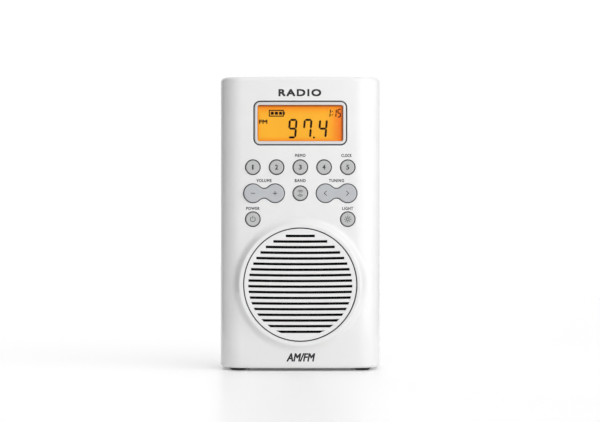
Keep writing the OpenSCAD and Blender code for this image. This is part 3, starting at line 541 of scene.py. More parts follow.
def thick_panel(faces, outer, inner):
    """Outer and inner skins over the same triangles, with walls along every open edge."""
    count = len(outer)
    verts = list(outer) + list(inner)
    out = list(faces) + [tuple(i + count for i in reversed(f)) for f in faces]
    seen = {}
    for f in faces:
        for a, b in zip(f, f[1:] + f[:1]):
            seen[(a, b)] = seen.get((a, b), 0) + 1
    for a, b in seen:
        if (b, a) not in seen:
            out.append((b, a, a + count, b + count))
    return verts, out

# ---- The body's surface -----------------------------------------------------------------------

CROWN_CY = FACE_Y + CROWN_R
CORNER_X = HALF_W - FRONT_R
CORNER_CY = CROWN_CY - math.sqrt((CROWN_R - FRONT_R) ** 2 - CORNER_X ** 2)
CORNER_A = math.atan2(CORNER_CY - CROWN_CY, CORNER_X)
CROWN_END = CROWN_R * (math.pi / 2 + CORNER_A)
FRONT_END = CROWN_END - FRONT_R * CORNER_A
FRONT_SEAM = FRONT_END + SEAM_Y - CORNER_CY
REBATE_S = FRONT_END + (SEAM_Y - 3.75 - CORNER_CY)
REBATE_DEPTH = 1.3

REAR_X = HALF_W - REAR_R
REAR_CY = BACK_Y - REAR_R
REAR_END = REAR_X + REAR_R * math.pi / 2
REAR_SEAM = REAR_END + REAR_CY - (SEAM_Y + SEAM_GAP)


def front_at(s):
    """(x, y, nx, ny) at arc length s from the middle of the front."""
    side, s = math.copysign(1, s), abs(s)
    if s <= CROWN_END:
        nx, ny = math.sin(s / CROWN_R), -math.cos(s / CROWN_R)
        x, y = CROWN_R * nx, CROWN_CY + CROWN_R * ny
    elif s <= FRONT_END:
        a = CORNER_A + (s - CROWN_END) / FRONT_R
        nx, ny = math.cos(a), math.sin(a)
        x, y = CORNER_X + FRONT_R * nx, CORNER_CY + FRONT_R * ny
    else:
        x, y, nx, ny = HALF_W, CORNER_CY + s - FRONT_END, 1.0, 0.0
    return side * x, y, side * nx, ny


def front_s(x):
    """Arc length from the middle of the front to x."""
    s = CROWN_R * math.asin(min(abs(x), CROWN_END + 5) / CROWN_R)
    if s > CROWN_END:
        s = CROWN_END + FRONT_R * (-math.acos((abs(x) - CORNER_X) / FRONT_R) - CORNER_A)
    return math.copysign(s, x)


def front_y(x, depth=0.0):
    """Y of the front at x, at a depth inside its surface."""
    x = abs(x)
    y = CROWN_CY - math.sqrt((CROWN_R - depth) ** 2 - x * x)
    if x > (CROWN_R - depth) * math.sin(CROWN_END / CROWN_R):
        y = CORNER_CY - math.sqrt((FRONT_R - depth) ** 2 - (x - CORNER_X) ** 2)
    return y


def rear_at(s):
    """(x, y, nx, ny) at arc length s from the middle of the back."""
    side, s = math.copysign(1, s), abs(s)
    if s <= REAR_X:
        x, y, nx, ny = s, BACK_Y, 0.0, 1.0
    elif s <= REAR_END:
        a = math.pi / 2 - (s - REAR_X) / REAR_R
        nx, ny = math.cos(a), math.sin(a)
        x, y = REAR_X + REAR_R * nx, REAR_CY + REAR_R * ny
    else:
        x, y, nx, ny = HALF_W, REAR_CY - (s - REAR_END), 1.0, 0.0
    return side * x, y, side * nx, ny


def rear_s(x):
    """Arc length from the middle of the back to x."""
    s = abs(x) if abs(x) <= REAR_X else REAR_X + REAR_R * math.asin((abs(x) - REAR_X) / REAR_R)
    return math.copysign(s, x)


def rear_y(x, depth=0.0):
    """Y of the back at x, at a depth inside its surface."""
    over = max(0.0, abs(x) - REAR_X)
    return REAR_CY + math.sqrt((REAR_R - depth) ** 2 - over * over)


CAP = 2.5


def skin(at, s, t, depth=0.0):
    """A point of the body, at a depth inside: t is the height, and goes on over the edges."""
    x, y, nx, ny = at(s)
    mid = min(max(t, LOW_Z + LOW_R), TOP_Z - EDGE_R)
    r = LOW_R if t < mid else EDGE_R
    quarter = r * math.pi / 2
    past = max(0.0, abs(t - mid) - quarter)
    a = math.copysign(min(abs(t - mid), quarter) / r, t - mid)
    out = (r - depth) * math.cos(a) - r - past
    return x + out * nx, y + out * ny, mid + (r - depth) * math.sin(a)


def rows_up():
    """Heights of the surface's rows, over the bottom edge, up, and over the top edge."""
    low, high = LOW_Z + LOW_R, TOP_Z - EDGE_R
    over = [[r * math.pi / 16 * i for i in range(1, 9)] + [r * math.pi / 2 + e for e in (0.3, 1, CAP)]
            for r in (LOW_R, EDGE_R)]
    count = 48
    return ([low - e for e in reversed(over[0])] + [low + (high - low) * i / count for i in range(count + 1)]
            + [high + e for e in over[1]])


FILLET = 0.3
FILLET_STEPS = [0, 0.025, 0.07, 0.13, 0.21, 0.3]


def sink(d, r=FILLET):
    """How far a rounded edge lies below the surface at a distance from the edge."""
    return r - math.sqrt(max(0.0, r * r - (r - min(d, r)) ** 2))


def shell(at, s_of, y_of, columns, holes, lift=None, depth_at=None):
    """A shell over the arc lengths in columns. A hole is (outline function, steps, clear margin,
    depth of its inner edge); lift moves a point of the outer face."""
    points, outer, inner, rings = [], [], [], []
    for outline, steps, _, rim in holes:
        for k, d in enumerate(steps):
            start = len(points)
            for x, z in outline(d):
                points.append((s_of(x), z))
                y = y_of(x) + (-sink(d) if y_of is rear_y else sink(d))
                outer.append((x, lift(x, z, y) if lift else y, z))
                if d <= FILLET:
                    inner.append((x, y_of(x, rim), z))
                else:
                    inner.append(skin(at, s_of(x), z, WALL))
            if k == 0:
                rings.append(list(range(start, len(points))))
    clear = [[(s_of(x), z) for x, z in outline(margin)] for outline, _, margin, _ in holes]
    rows = rows_up()
    ends = {}
    for t in rows:
        for s in columns:
            if any(inside(loop, s, t) for loop in clear):
                continue
            if t in (rows[0], rows[-1]):
                ends[(s, t)] = len(points)
            points.append((s, t))
            outer.append(skin(at, s, t))
            inner.append(skin(at, s, t, depth_at(s) if depth_at else WALL))
    faces = triangulate(points, rings)
    right = [s for s in columns if s >= 0]
    for t, turn in ((rows[0], 1), (rows[-1], -1)):
        for a, b in zip(right, right[1:]):
            ring = [ends[(-b, t)], ends[(-a, t)], ends[(a, t)], ends[(b, t)]]
            if a == 0:
                ring.pop(1)
            faces.append(tuple(ring[::turn]))
    return thick_panel(faces, outer, inner)


def span(a, b, step):
    """Even steps from a to b, without a."""
    count = max(1, math.ceil((b - a) / step))
    return [a + (b - a) * i / count for i in range(1, count + 1)]


def both_sides(values):
    """The values and their negatives, with zero."""
    return [-v for v in reversed(values)] + [0.0] + list(values)


# ---- Front shell ------------------------------------------------------------------------------

RING_FLAT = 49.2
RING_END = 57.2


def ring_lift(x, z, y):
    """Raises the front face into the ring round the grille, with a flared foot."""
    r = math.hypot(x, z - SPEAKER_Z)
    if r >= RING_END:
        return y
    q = max(0.0, (r - RING_FLAT) / (RING_END - RING_FLAT))
    n = 4.0
    rise = (1 - q) ** n * (1 + n * q)
    flat = RING_Y + sink(r - GRILLE_R - GRILLE_GAP)
    return y + (flat - y) * rise


def grille_hole(d):
    return moved(circle(GRILLE_R + GRILLE_GAP + d, 168), 0, SPEAKER_Z)


def window_hole(d):
    w, h = BEZEL_W + 2 * (WINDOW_GAP + d), BEZEL_H + 2 * (WINDOW_GAP + d)
    return moved(dense(rounded_rect(w, h, BEZEL_R + WINDOW_GAP + d), 3.0), 0, DISPLAY_Z)


def key_hole(x, z):
    return lambda d: moved(circle(KEY_R + KEY_GAP + d, 48), x, z)


def rocker_hole(x, z):
    return lambda d: moved(dumbbell(ROCKER_GAP + d), x, z)


front_columns = both_sides(span(0, CROWN_END, 3.6) + span(CROWN_END, REBATE_S - 0.02, 1.6)
                           + [REBATE_S + 0.02] + span(REBATE_S + 0.02, FRONT_SEAM, 2.0))
front_holes = [(grille_hole, FILLET_STEPS + [1.2] + span(1.2, RING_END - GRILLE_R - GRILLE_GAP, 0.5),
                RING_END - GRILLE_R - GRILLE_GAP + 1.4, WALL),
               (window_hole, FILLET_STEPS + [1.2], 2.4, WALL)]
for key_name in ROUND_KEYS + ROCKERS:
    make_hole = rocker_hole if key_name in ROCKERS else key_hole
    front_holes.append((make_hole(*KEY_AT[key_name]), FILLET_STEPS + [1.1], 2.2, WALL))

front_shell = shell(front_at, front_s, front_y, front_columns, front_holes, ring_lift,
                    lambda s: REBATE_DEPTH if abs(s) > REBATE_S else WALL)


def post(x, z, rows, root, n):
    """Loops of a post along Y from (radius, y) rows; where y is None, root gives it at each x."""
    return [[(x + r * c, root(x + r * c) if y is None else y, z + r * s) for c, s in circle(1.0, n)]
            for r, y in rows]


def boss(x, z, r, hole_r, root, end, n=36):
    """A screw post along Y; root gives the Y of its foot at each x."""
    step = math.copysign(0.3, root(x) - end)
    return loft(post(x, z, [(r, None), (r, end + step), (r - 0.3, end), (hole_r + 0.15, end),
                            (hole_r, end + step / 2), (hole_r, None)], root, n))


def cradle(x, z):
    """Two forks that hold a rocker's pivot, open at the back."""
    slot_w, slot_floor = 1.0, -34.75
    y0, y1 = front_y(x, WALL / 2), -32.2
    outline = [(-1.9, y0), (1.9, y0), (1.9, y1 - 0.3), (1.6, y1), (slot_w, y1)]
    outline += [(slot_w * math.cos(a), slot_floor + slot_w * 0.55 - slot_w * 0.55 * math.sin(a))
                for a in [math.pi * k / 8 for k in range(9)]]
    outline += [(-slot_w, y1), (-1.6, y1), (-1.9, y1 - 0.3)]
    parts = []
    for side in (-1, 1):
        low, high = z + side * 6.4 - 1, z + side * 6.4 + 1
        parts.append(loft([[(x + px, py, level) for px, py in outline] for level in (low, high)]))
    return join_parts(parts)


SEAT_BACK, POCKET_Y, SOUND_R = -34.0, -37.9, 36.5
seat_r = GRILLE_R + GRILLE_GAP
seat = lathe_y([(SOUND_R + 0.4, POCKET_Y), (seat_r, POCKET_Y), (seat_r, SEAT_BACK - 1.5),
                (44.8, SEAT_BACK - 0.3), (44.5, SEAT_BACK), (SOUND_R + 0.3, SEAT_BACK),
                (SOUND_R, SEAT_BACK - 0.3), (SOUND_R, POCKET_Y + 0.4)], 0, SPEAKER_Z, 128, True)


def front_root(x):
    """Y of a front post's foot, inside the wall."""
    return front_y(x, WALL * 0.6)


BOARD_Y = -28.6
front_posts = [boss(x, z, 3.2, 1.05, front_root, BOARD_Y) for x in (-52, 52) for z in (119, 221)]
SHELL_SCREWS = [(s * x, z) for x, z in ((14, 9), (55, 98), (55, 232)) for s in (-1, 1)]
front_posts += [boss(x, z, 4.2, 1.55, front_root, -12.0) for x, z in SHELL_SCREWS]
front_posts += [cradle(*KEY_AT[key_name]) for key_name in ROCKERS]
finish_piece("front_shell", *join_parts([front_shell, seat] + front_posts), "white_housing",
             nodes=["front_housing"], smooth=32)

# ---- Rear shell and battery bay ---------------------------------------------------------------

DOOR_HALF_W = 52.0
DOOR_TOP = (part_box("battery_door")[1] / MM).z
HINGE_Y, HINGE_Z = BACK_Y - 2.6, 19.1
OPEN_LOW, OPEN_TOP, OPEN_HALF_W = HINGE_Z - 3.0, DOOR_TOP + 0.4, DOOR_HALF_W + 0.4


def door_hole(d):
    loop = []
    corners = [(1, OPEN_TOP, 6), (-1, OPEN_TOP, 6), (-1, OPEN_LOW, -0.6), (1, OPEN_LOW, -0.6)]
    for k, (sx, z, r) in enumerate(corners):
        loop += arc(sx * (OPEN_HALF_W - abs(r)), z - r, abs(r) + d, 90 * k, 90 * k + 90, 8)
    return dense(loop, 4.0)


def screw_hole(x, z):
    return lambda d: moved(circle(3.4 + d, 36), x, z)


rear_columns = both_sides(span(0, REAR_X, 4.0) + span(REAR_X, REAR_END, 1.4)
                          + span(REAR_END, REAR_SEAM, 6.0))
rear_holes = [(door_hole, FILLET_STEPS + [1.2], 2.2, 3.0)]
rear_holes += [(screw_hole(x, z), FILLET_STEPS + [0.9], 1.8, WALL) for x, z in SHELL_SCREWS]
rear_shell = shell(rear_at, rear_s, rear_y, rear_columns, rear_holes)


def tongue():
    """The lip on the rear shell that enters the front shell."""
    def loop(depth, y):
        w, h = 2 * (HALF_W - depth), TOP_Z - LOW_Z - 2 * depth
        return set_at(rounded_rect(w, h, EDGE_R - depth + 0.6), 0, y, (LOW_Z + TOP_Z) / 2)

    y0, y1 = SEAM_Y - 2.55, SEAM_Y + 2.5
    rows = [(1.55, y1), (1.55, y0 + 0.3), (1.8, y0), (2.4, y0), (2.62, y0 + 0.3), (2.62, y1)]
    loops = [loop(depth, y) for depth, y in rows]
    return loft(loops + loops[:1], False, False)


BAY_HALF_W, BAY_LOW, BAY_TOP, BAY_FRONT, BAY_WALL, LEDGE_Y = 51.2, 16.0, 84.5, 3.5, 2.0, 39.0


def bay():
    """The battery bay: a box that is open at the back."""
    def loop(half_w, low, high, y, r):
        return set_at(rounded_rect(2 * half_w, high - low, r, 4), 0, y, (low + high) / 2)

    w = BAY_WALL
    big = (BAY_HALF_W + w, BAY_LOW - w, BAY_TOP + w)
    small = (BAY_HALF_W, BAY_LOW, BAY_TOP)
    loops = [loop(*big, BAY_FRONT - w, 0.6), loop(*big, BACK_Y - WALL / 2, 0.6),
             loop(OPEN_HALF_W, OPEN_LOW - 0.3, OPEN_TOP, BACK_Y - WALL / 2, 0.5),
             loop(OPEN_HALF_W, OPEN_LOW - 0.3, OPEN_TOP, LEDGE_Y, 0.5),
             loop(*small, LEDGE_Y, 0.4), loop(*small, BAY_FRONT, 0.4)]
    return loft(loops)


def rear_root(x):
    """Y of a rear post's foot, inside the wall."""
    return rear_y(x, WALL * 0.6)


def deep_boss(x, z):
    """A post for a screw whose head lies at the bottom of a deep hole."""
    rows = [(5.2, None), (5.2, -11.5), (4.9, -11.8), (1.85, -11.8), (1.7, -11.65), (1.7, -6.0),
            (3.4, -6.0), (3.4, None), (5.2, None)]
    return loft(post(x, z, rows, rear_root, 40), False, False)


MAIN_BACK = 21.6                         # where the main board's posts end
DIVIDER_X = 16.9                         # the walls between the cells
rear_parts = [rear_shell, tongue(), bay()]
rear_parts += [deep_boss(x, z) for x, z in SHELL_SCREWS]
rear_parts += [boss(x, z, 3.2, 1.05, rear_root, MAIN_BACK) for x in (-44, 44) for z in (106, 196)]
rear_parts += [block(x - 0.6, x + 0.6, BAY_FRONT - 0.1, 11.5, BAY_LOW - 0.1, BAY_TOP + 0.1, 0.25)
               for x in (-DIVIDER_X, DIVIDER_X)]
rear_parts += [block(x0, x1, 35, 40.6, 14, 23, 0.4) for x0, x1 in ((-57.7, -53.1), (53.1, 57.7))]
finish_piece("rear_shell", *join_parts(rear_parts), "white_housing", nodes=["rear_housing"], smooth=32)

# ---- Battery door -----------------------------------------------------------------------------

PANEL_Y = BACK_Y - 2.4


def door_panel():
    """The door's panel, with softened edges and a scoop for a fingertip."""
    low, high, r = HINGE_Z, DOOR_TOP, 5.6
    scoop_half_w, scoop_side, scoop_low, scoop_rise, scoop_deep = 11.4, 0.9, 5.4, 1.4, 1.2

    def outline(d):
        x, z, k = DOOR_HALF_W - d, high - d, r - d
        arch = arc(x - k, z - k, k, 0, 90, 8) + arc(-x + k, z - k, k, 90, 180, 8)
        return dense([(x, low + d)] + arch + [(-x, low + d)], 2.5)

    def dip(x, z):
        across = min(1.0, max(0.0, (scoop_half_w - abs(x)) / scoop_side))
        up = min(1.0, max(0.0, (z - DOOR_TOP + scoop_low) / scoop_rise))
        return scoop_deep * (across * across * (3 - 2 * across)) * (up * up * (3 - 2 * up))

    points, outer, edge = [], [], []
    for k, d in enumerate(FILLET_STEPS + [1.0]):
        start = len(points)
        for x, z in outline(d):
            points.append((x, z))
            outer.append((x, BACK_Y - sink(d) - dip(x, z), z))
        if k == 0:
            edge = list(range(start, len(points)))
    fine = sorted(set([-50.0 + 4 * i for i in range(26)]
                      + [s * (scoop_half_w - scoop_side * i / 5) for s in (-1, 1) for i in range(6)]))
    levels = sorted(set([low + 2 + 4 * i for i in range(15)] + [DOOR_TOP - 2.8]
                        + [DOOR_TOP - scoop_low + scoop_rise * i / 6 for i in range(7)]))
    keep = outline(1.5)
    for x in fine:
        for z in levels:
            if inside(keep, x, z):
                points.append((x, z))
                outer.append((x, BACK_Y - dip(x, z), z))
    faces = triangulate(points, [], edge)
    return thick_panel(faces, outer, [(x, PANEL_Y, z) for x, _, z in outer])


def rod_x(x0, x1, y, z, r, soft=0.3, n=40):
    """A rod along X with softened ends."""
    rows = [(x0, r - soft), (x0 + soft, r), (x1 - soft, r), (x1, r - soft)]
    return loft([[(x, y + k * c, z + k * s) for c, s in circle(1.0, n)] for x, k in rows])


def door_frame():
    """A stiffening frame on the inside of the door."""
    def loop(w, h, r, y):
        return set_at(rounded_rect(w, h, r), 0, y, (HINGE_Z + DOOR_TOP) / 2 + 1)

    h = DOOR_TOP - HINGE_Z
    rows = [(88, 12, 4, 0.1), (88, 12, 4, -1.1), (87.4, 12.6, 3.7, -1.4), (85.6, 14.4, 3.3, -1.4),
            (85, 15, 3, -1.1), (85, 15, 3, 0.1)]
    loops = [loop(w, h - less, r, PANEL_Y + y) for w, less, r, y in rows]
    return loft(loops + loops[:1], False, False)


ROLL_HALF_W, STUB_X = 50.9, DOOR_HALF_W + 3.4
finish_piece("door", *join_parts([
    door_panel(), door_frame(), rod_x(-ROLL_HALF_W, ROLL_HALF_W, HINGE_Y, HINGE_Z, 2.5),
    rod_x(-STUB_X, STUB_X, HINGE_Y, HINGE_Z, 1.5)]), "white_housing",
    body="battery_door", nodes=["battery_door"], smooth=32)

# ---- Display ----------------------------------------------------------------------------------


def frame_loop(w, h, r, across=20, up=8, n=6):
    """A rounded rectangle whose points match from one size to the next."""
    x, z = w / 2 - r, h / 2 - r
    corners = [(x, z), (-x, z), (-x, -z), (x, -z)]
    out = []
    for i, (cx, cz) in enumerate(corners):
        out += arc(cx, cz, r, 90 * i, 90 * i + 90, n)
        nx, nz = corners[(i + 1) % 4]
        a = math.radians(90 * i + 90)
        x1, z1 = nx + r * math.cos(a), nz + r * math.sin(a)
        x0, z0 = out[-1]
        count = up if i % 2 else across
        out += [(x0 + (x1 - x0) * k / count, z0 + (z1 - z0) * k / count) for k in range(1, count)]
    return out


def display_ring(rows):
    """A closed ring round the display; each row is (width, height, radius, y, follows the crown)."""
    loops = []
    for w, h, r, y, crowned in rows:
        loops.append([(x, front_y(x) + y if crowned else y, z + DISPLAY_Z) for x, z in frame_loop(w, h, r)])
    return loft(loops + loops[:1], False, False)


OPENING_W, OPENING_H = 70.0, 29.6
LENS_Y, FLANGE_Y, FLANGE_BACK = -36.6, -34.2, -33.2
bezel_rows = [(OPENING_W + g, OPENING_H + g, 1.6 + g / 2, y, crowned) for g, y, crowned in (
    (0, LENS_Y, False), (0, 0.25, True), (0.12, 0.02, True), (0.36, -0.14, True), (0.8, -0.2, True))]
bezel_rows += [(BEZEL_W + g, BEZEL_H + g, BEZEL_R + r, y, crowned) for g, r, y, crowned in (
    (-1.0, -0.5, -0.2, True), (-0.4, -0.2, -0.1, True), (-0.1, -0.05, 0.08, True), (0, 0, 0.35, True),
    (0, 0, FLANGE_Y, False), (7, 2, FLANGE_Y, False), (7, 2, FLANGE_BACK, False))]
bezel_rows += [(BEZEL_W - 2, BEZEL_H - 2.3, 1.0, y, False) for y in (FLANGE_BACK, LENS_Y)]
finish_piece("bezel", *display_ring(bezel_rows), "silver_bezel", nodes=["display_bezel"])
seal_w, seal_h = BEZEL_W + 2 * WINDOW_GAP - 0.1, BEZEL_H + 2 * WINDOW_GAP - 0.1
finish_piece("bezel_seal", *display_ring([
    (BEZEL_W + 0.1, BEZEL_H + 0.1, BEZEL_R, FLANGE_Y, False),
    (BEZEL_W + 0.1, BEZEL_H + 0.1, BEZEL_R, 0.3, True),
    (seal_w, seal_h, BEZEL_R + 1.05, 0.3, True), (seal_w, seal_h, BEZEL_R + 1.05, FLANGE_Y, False)]),
    "dark_outline", nodes=["display_seal"])

GLASS_Y = -34.9
lcd_parts = [block(-36, 36, GLASS_Y, GLASS_Y + 1.08, DISPLAY_Z - 15.8, DISPLAY_Z + 15.4, 0.15),
             block(-36, 36, GLASS_Y + 1.12, GLASS_Y + 2.2, DISPLAY_Z - 15.8, DISPLAY_Z + 15.8, 0.15)]
finish_piece("lcd", *join_parts(lcd_parts), "amber_lcd", nodes=["lcd_glass"])


def flat_part(loop, y, thick=0.05):
    """A thin closed plate with the outline of the loop, its front at y."""
    return loft([set_at(loop, 0, y, 0), set_at(loop, 0, y + thick, 0)])


def stroke(points, width, y, thick=0.05):
    """A thin line of even width through points, square at its ends and mitred at its bends."""
    left, right = [], []
    last = len(points) - 1
    for i, (x, z) in enumerate(points):
        before = points[max(i - 1, 0)] if i else (2 * x - points[1][0], 2 * z - points[1][1])
        after = points[i + 1] if i < last else (2 * x - before[0], 2 * z - before[1])
        d0 = Vector((x - before[0], z - before[1])).normalized()
        d1 = Vector((after[0] - x, after[1] - z)).normalized()
        mean = (d0 + d1).normalized()
        side = Vector((-mean.y, mean.x)) * width / 2 / max(0.5, mean.dot(d0))
        left.append((x + side.x, z + side.y))
        right.append((x - side.x, z - side.y))
    parts = []
    for k in range(last):
        parts.append(flat_part([left[k], left[k + 1], right[k + 1], right[k]], y, thick))
    return join_parts(parts)


LIT = {"0": "abcdef", "1": "bc", "2": "abged", "3": "abgcd", "4": "fgbc", "5": "afgcd",
       "6": "afgedc", "7": "fabc", "8": "abcdefg", "9": "abcdfg"}


def digit(number, x, z, w, h, t, gap, slant, y):
    """One seven-segment digit, its lower left corner at x, z."""
    mid, half = h / 2, t / 2

    def level(zc):
        a, b = half + gap, w - half - gap
        return [(a, zc), (a + half, zc + half), (b - half, zc + half), (b, zc), (b - half, zc - half),
                (a + half, zc - half)]

    def upright(xc, low, high):
        a, b = low + gap, high - gap
        return [(xc, a), (xc + half, a + half), (xc + half, b - half), (xc, b), (xc - half, b - half),
                (xc - half, a + half)]

    shapes = {"a": level(h - half), "g": level(mid), "d": level(half),
              "f": upright(half, mid, h - half), "b": upright(w - half, mid, h - half),
              "e": upright(half, half, mid), "c": upright(w - half, half, mid)}
    return [flat_part([(x + px + pz * slant, z + pz) for px, pz in shapes[s]], y) for s in LIT[number]]


INK_Y = GLASS_Y - 0.06
DIGIT_H, DIGIT_LOW, DIGIT_W, DIGIT_T, SLANT = 16.1, 190.3, 7.2, 1.75, 0.085
ink = []
for number, x in (("9", -10.6), ("7", 1.6), ("4", 14.2)):
    ink += digit(number, x, DIGIT_LOW, DIGIT_W, DIGIT_H, DIGIT_T, 0.1, SLANT, INK_Y)
ink.append(flat_part(moved(rounded_rect(1.5, 1.5, 0.3, 3), 11.2, DIGIT_LOW + 0.8), INK_Y))
CLOCK_LOW, CLOCK_H = 207.4, 7.2
for number, x in (("1", 21.6), ("1", 26.4), ("5", 30.0)):
    ink += digit(number, x, CLOCK_LOW, 3.1, CLOCK_H, 0.9, 0.04, SLANT, INK_Y)
for z in (CLOCK_LOW + 2.2, CLOCK_LOW + 5.0):
    ink.append(flat_part(moved(circle(0.5, 16), 26.2, z), INK_Y))


def battery_mark(x0, x1, z0, z1):
    """A battery symbol: a thick outline, its terminal, and three bars."""
    mid = (z0 + z1) / 2
    case = stroke([(x0, z0), (x0, z1), (x1, z1), (x1, z0), (x0 - 0.45, z0)], 0.9, INK_Y)
    bars = [flat_part(moved(rounded_rect(2.6, z1 - z0 - 2.2, 0.2, 2), x0 + 2.4 + 3.4 * i, mid), INK_Y)
            for i in range(3)]
    nub = flat_part(moved(rounded_rect(1.0, 2.4, 0.2, 2), x1 + 0.8, mid), INK_Y)
    return [case, nub] + bars


ink += battery_mark(-25.3, -13.9, 208.6, 213.3)


def lettering(text, x, z, width, height, place, shear=0.0, spacing=1.0, bold=0.0, thick=0.05):
    """Letters from the built-in font, centred at x, z; place gives the Y that they lie on, and
    bold is how far each stroke is widened to either side."""
    curve = bpy.data.curves.new("letters", "FONT")
    curve.body = text
    curve.shear = shear
    curve.space_character = spacing
    curve.resolution_u = 3
    source = bpy.data.objects.new("letters", curve)
    mesh = bpy.data.meshes.new_from_object(source)
    flat = [tuple(v.co[:2]) for v in mesh.vertices]
    faces = [tuple(p.vertices) for p in mesh.polygons]
    bpy.data.objects.remove(source)
    bpy.data.curves.remove(curve)
    bpy.data.meshes.remove(mesh)
    x0, x1 = min(p[0] for p in flat), max(p[0] for p in flat)
    z0, z1 = min(p[1] for p in flat), max(p[1] for p in flat)
    wide, high = width - 2 * bold, height - 2 * bold
    copies = []
    shifts = [(dx, dz) for dz in (-bold, bold) for dx in (-bold, bold)] if bold else [(0, 0)]
    for k, (dx, dz) in enumerate(shifts):
        outer, inner = [], []
        for px, pz in flat:
            gx = x + dx + ((px - x0) / (x1 - x0) - 0.5) * wide
            gz = z + dz + ((pz - z0) / (z1 - z0) - 0.5) * high
            outer.append((gx, place(gx) - thick / 2 + k * 0.001, gz))
            inner.append((gx, place(gx) + thick + k * 0.001, gz))
        copies.append(thick_panel(faces, outer, inner))
    return join_parts(copies)


ink.append(lettering("FM", -30.3, 204.0, 6.8, 3.3, lambda x: INK_Y + 0.03, bold=0.2))
finish_piece("lcd_segments", *join_parts(ink), "segment_ink", smooth=20)

# ---- Grille -----------------------------------------------------------------------------------

SLOTS, PITCH, SLOT_W, FIELD_R = 18, 4.6, 2.1, 42.5
LOUVRE_SOFT = 0.22


def slot_loops():
    """The louvre slots: bands that rise a little towards their ends, kept inside a circle."""
    loops = []
    count = 16
    for i in range(SLOTS):
        z0 = ((SLOTS - 1) / 2 - i) * PITCH + 0.6
        sag = 0.0004 - 0.0003 * i / (SLOTS - 1)

        def reach(z):
            end = z + sag * (FIELD_R ** 2 - z * z)
            return math.sqrt(FIELD_R ** 2 - end * end)

        above = reach(z0 + SLOT_W / 2)
        below = above if z0 > 0 else reach(z0 - SLOT_W / 2)
        loop = []
        for half_w, offset, order in ((above, SLOT_W / 2, -1), (below, -SLOT_W / 2, 1)):
            line = [half_w * (2 * k / count - 1) for k in range(count + 1)][::order]
            loop += [(x, z0 + offset + sag * x * x) for x in line]
        loops.append(loop)
    return loops


def grow(loop, d):
    """A closed anticlockwise loop moved outwards by d."""
    out = []
    for (x0, z0), (x1, z1), (x2, z2) in zip(loop[-1:] + loop[:-1], loop, loop[1:] + loop[:1]):
        d0 = Vector((x1 - x0, z1 - z0)).normalized()
        d1 = Vector((x2 - x1, z2 - z1)).normalized()
        mean = (d0 + d1).normalized()
        k = d / max(0.35, mean.dot(d0))
        out.append((x1 + mean.y * k, z1 - mean.x * k))
    return out


def grille():
    """The round insert: a slightly domed disc with louvre slots, softened along their edges."""
    dome = 0.9
    soft = [0, 0.04, 0.12, LOUVRE_SOFT]

    def face_y(x, z):
        return RING_Y + dome * (x * x + z * z) / (GRILLE_R - 0.4) ** 2

    points, outer, rings = [], [], []

    def put(x, z, down=0.0):
        points.append((x, z))
        outer.append((x, face_y(x, z) + down, z + SPEAKER_Z))

    for loop in slot_loops():
        for k, d in enumerate(soft):
            if k == 0:
                rings.append(list(range(len(points), len(points) + len(loop))))
            for x, z in grow(loop, d):
                put(x, z, sink(d, LOUVRE_SOFT))
    edge = list(range(len(points), len(points) + 144))
    for d in (0, 0.03, 0.09, 0.17, 0.25):
        for x, z in circle(GRILLE_R - d, 144):
            put(x, z, sink(d, 0.25))
    for r in (FIELD_R + 0.9, FIELD_R + 2.2):
        for x, z in circle(r, 120):
            put(x, z)
    for i in range(SLOTS + 1):
        z0 = (SLOTS / 2 - i) * PITCH + 0.6
        for k in range(-10, 11):
            x = k * 4.0
            z = z0 + (0.0004 - 0.0003 * i / SLOTS) * x * x
            if math.hypot(x, z + 0.7) < FIELD_R - 0.8:
                put(x, z)
    back = POCKET_Y - 0.45
    return thick_panel(triangulate(points, rings, edge), outer, [(x, back, z) for x, _, z in outer])


finish_piece("grille", *grille(), "grille_white", nodes=["speaker_grille"], smooth=35)

# ---- Keys -------------------------------------------------------------------------------------

KEY_PROUD, KEY_FLANGE_Y, KEY_FLANGE_R, DOME_Y, PIVOT_Y = 0.9, -33.9, 7.2, -31.6, -34.2
ROCKER_BACK_Y = -33.2
CAP_SOFT = 0.75                          # rounding of a key's front edge
CAP_STEPS = [CAP_SOFT, 0.48, 0.26, 0.11, 0.03, 0.0]


def key_front(x):
    return front_y(x) - KEY_PROUD


for key_name in ROUND_KEYS:
    x, z = KEY_AT[key_name]
    top = key_front(x)
    cap = [(3.2, top + 0.04), (KEY_R - 1.3, top)]
    cap += [(KEY_R - d, top + sink(d, CAP_SOFT)) for d in CAP_STEPS]
    cap += [(KEY_R, KEY_FLANGE_Y), (KEY_FLANGE_R - 0.15, KEY_FLANGE_Y), (KEY_FLANGE_R, KEY_FLANGE_Y + 0.15),
            (KEY_FLANGE_R, KEY_FLANGE_Y + 0.85), (KEY_FLANGE_R - 0.15, KEY_FLANGE_Y + 1),
            (2.2, KEY_FLANGE_Y + 1), (2.2, DOME_Y - 0.2), (2.0, DOME_Y)]
    finish_piece(key_name + "_cap", *lathe_y(cap, x, z, 72), "key_grey", body=key_name, nodes=[key_name])

for key_name in ROCKERS:
    x, z = KEY_AT[key_name]
    top = key_front(x)
    loops = []
    for d in [1.6] + CAP_STEPS:
        loops.append(set_at(dumbbell(-d), x, top + sink(d, CAP_SOFT), z))
    loops.append(set_at(dumbbell(0), x, ROCKER_BACK_Y, z))
    loops.append(set_at(dumbbell(-0.2), x, ROCKER_BACK_Y + 0.2, z))
    pivot = lathe_z([(0.75, z - 7.4), (0.9, z - 7.25), (0.9, z + 7.25), (0.75, z + 7.4)], x, PIVOT_Y, 24)
    stems = [lathe_y([(2, ROCKER_BACK_Y), (2, DOME_Y - 0.2), (1.8, DOME_Y)], x + s * LOBE_X, z, 32)
             for s in (-1, 1)]
    finish_piece(key_name + "_cap", *join_parts([loft(loops), pivot] + stems), "rocker_grey",
                 body=key_name, nodes=[key_name])


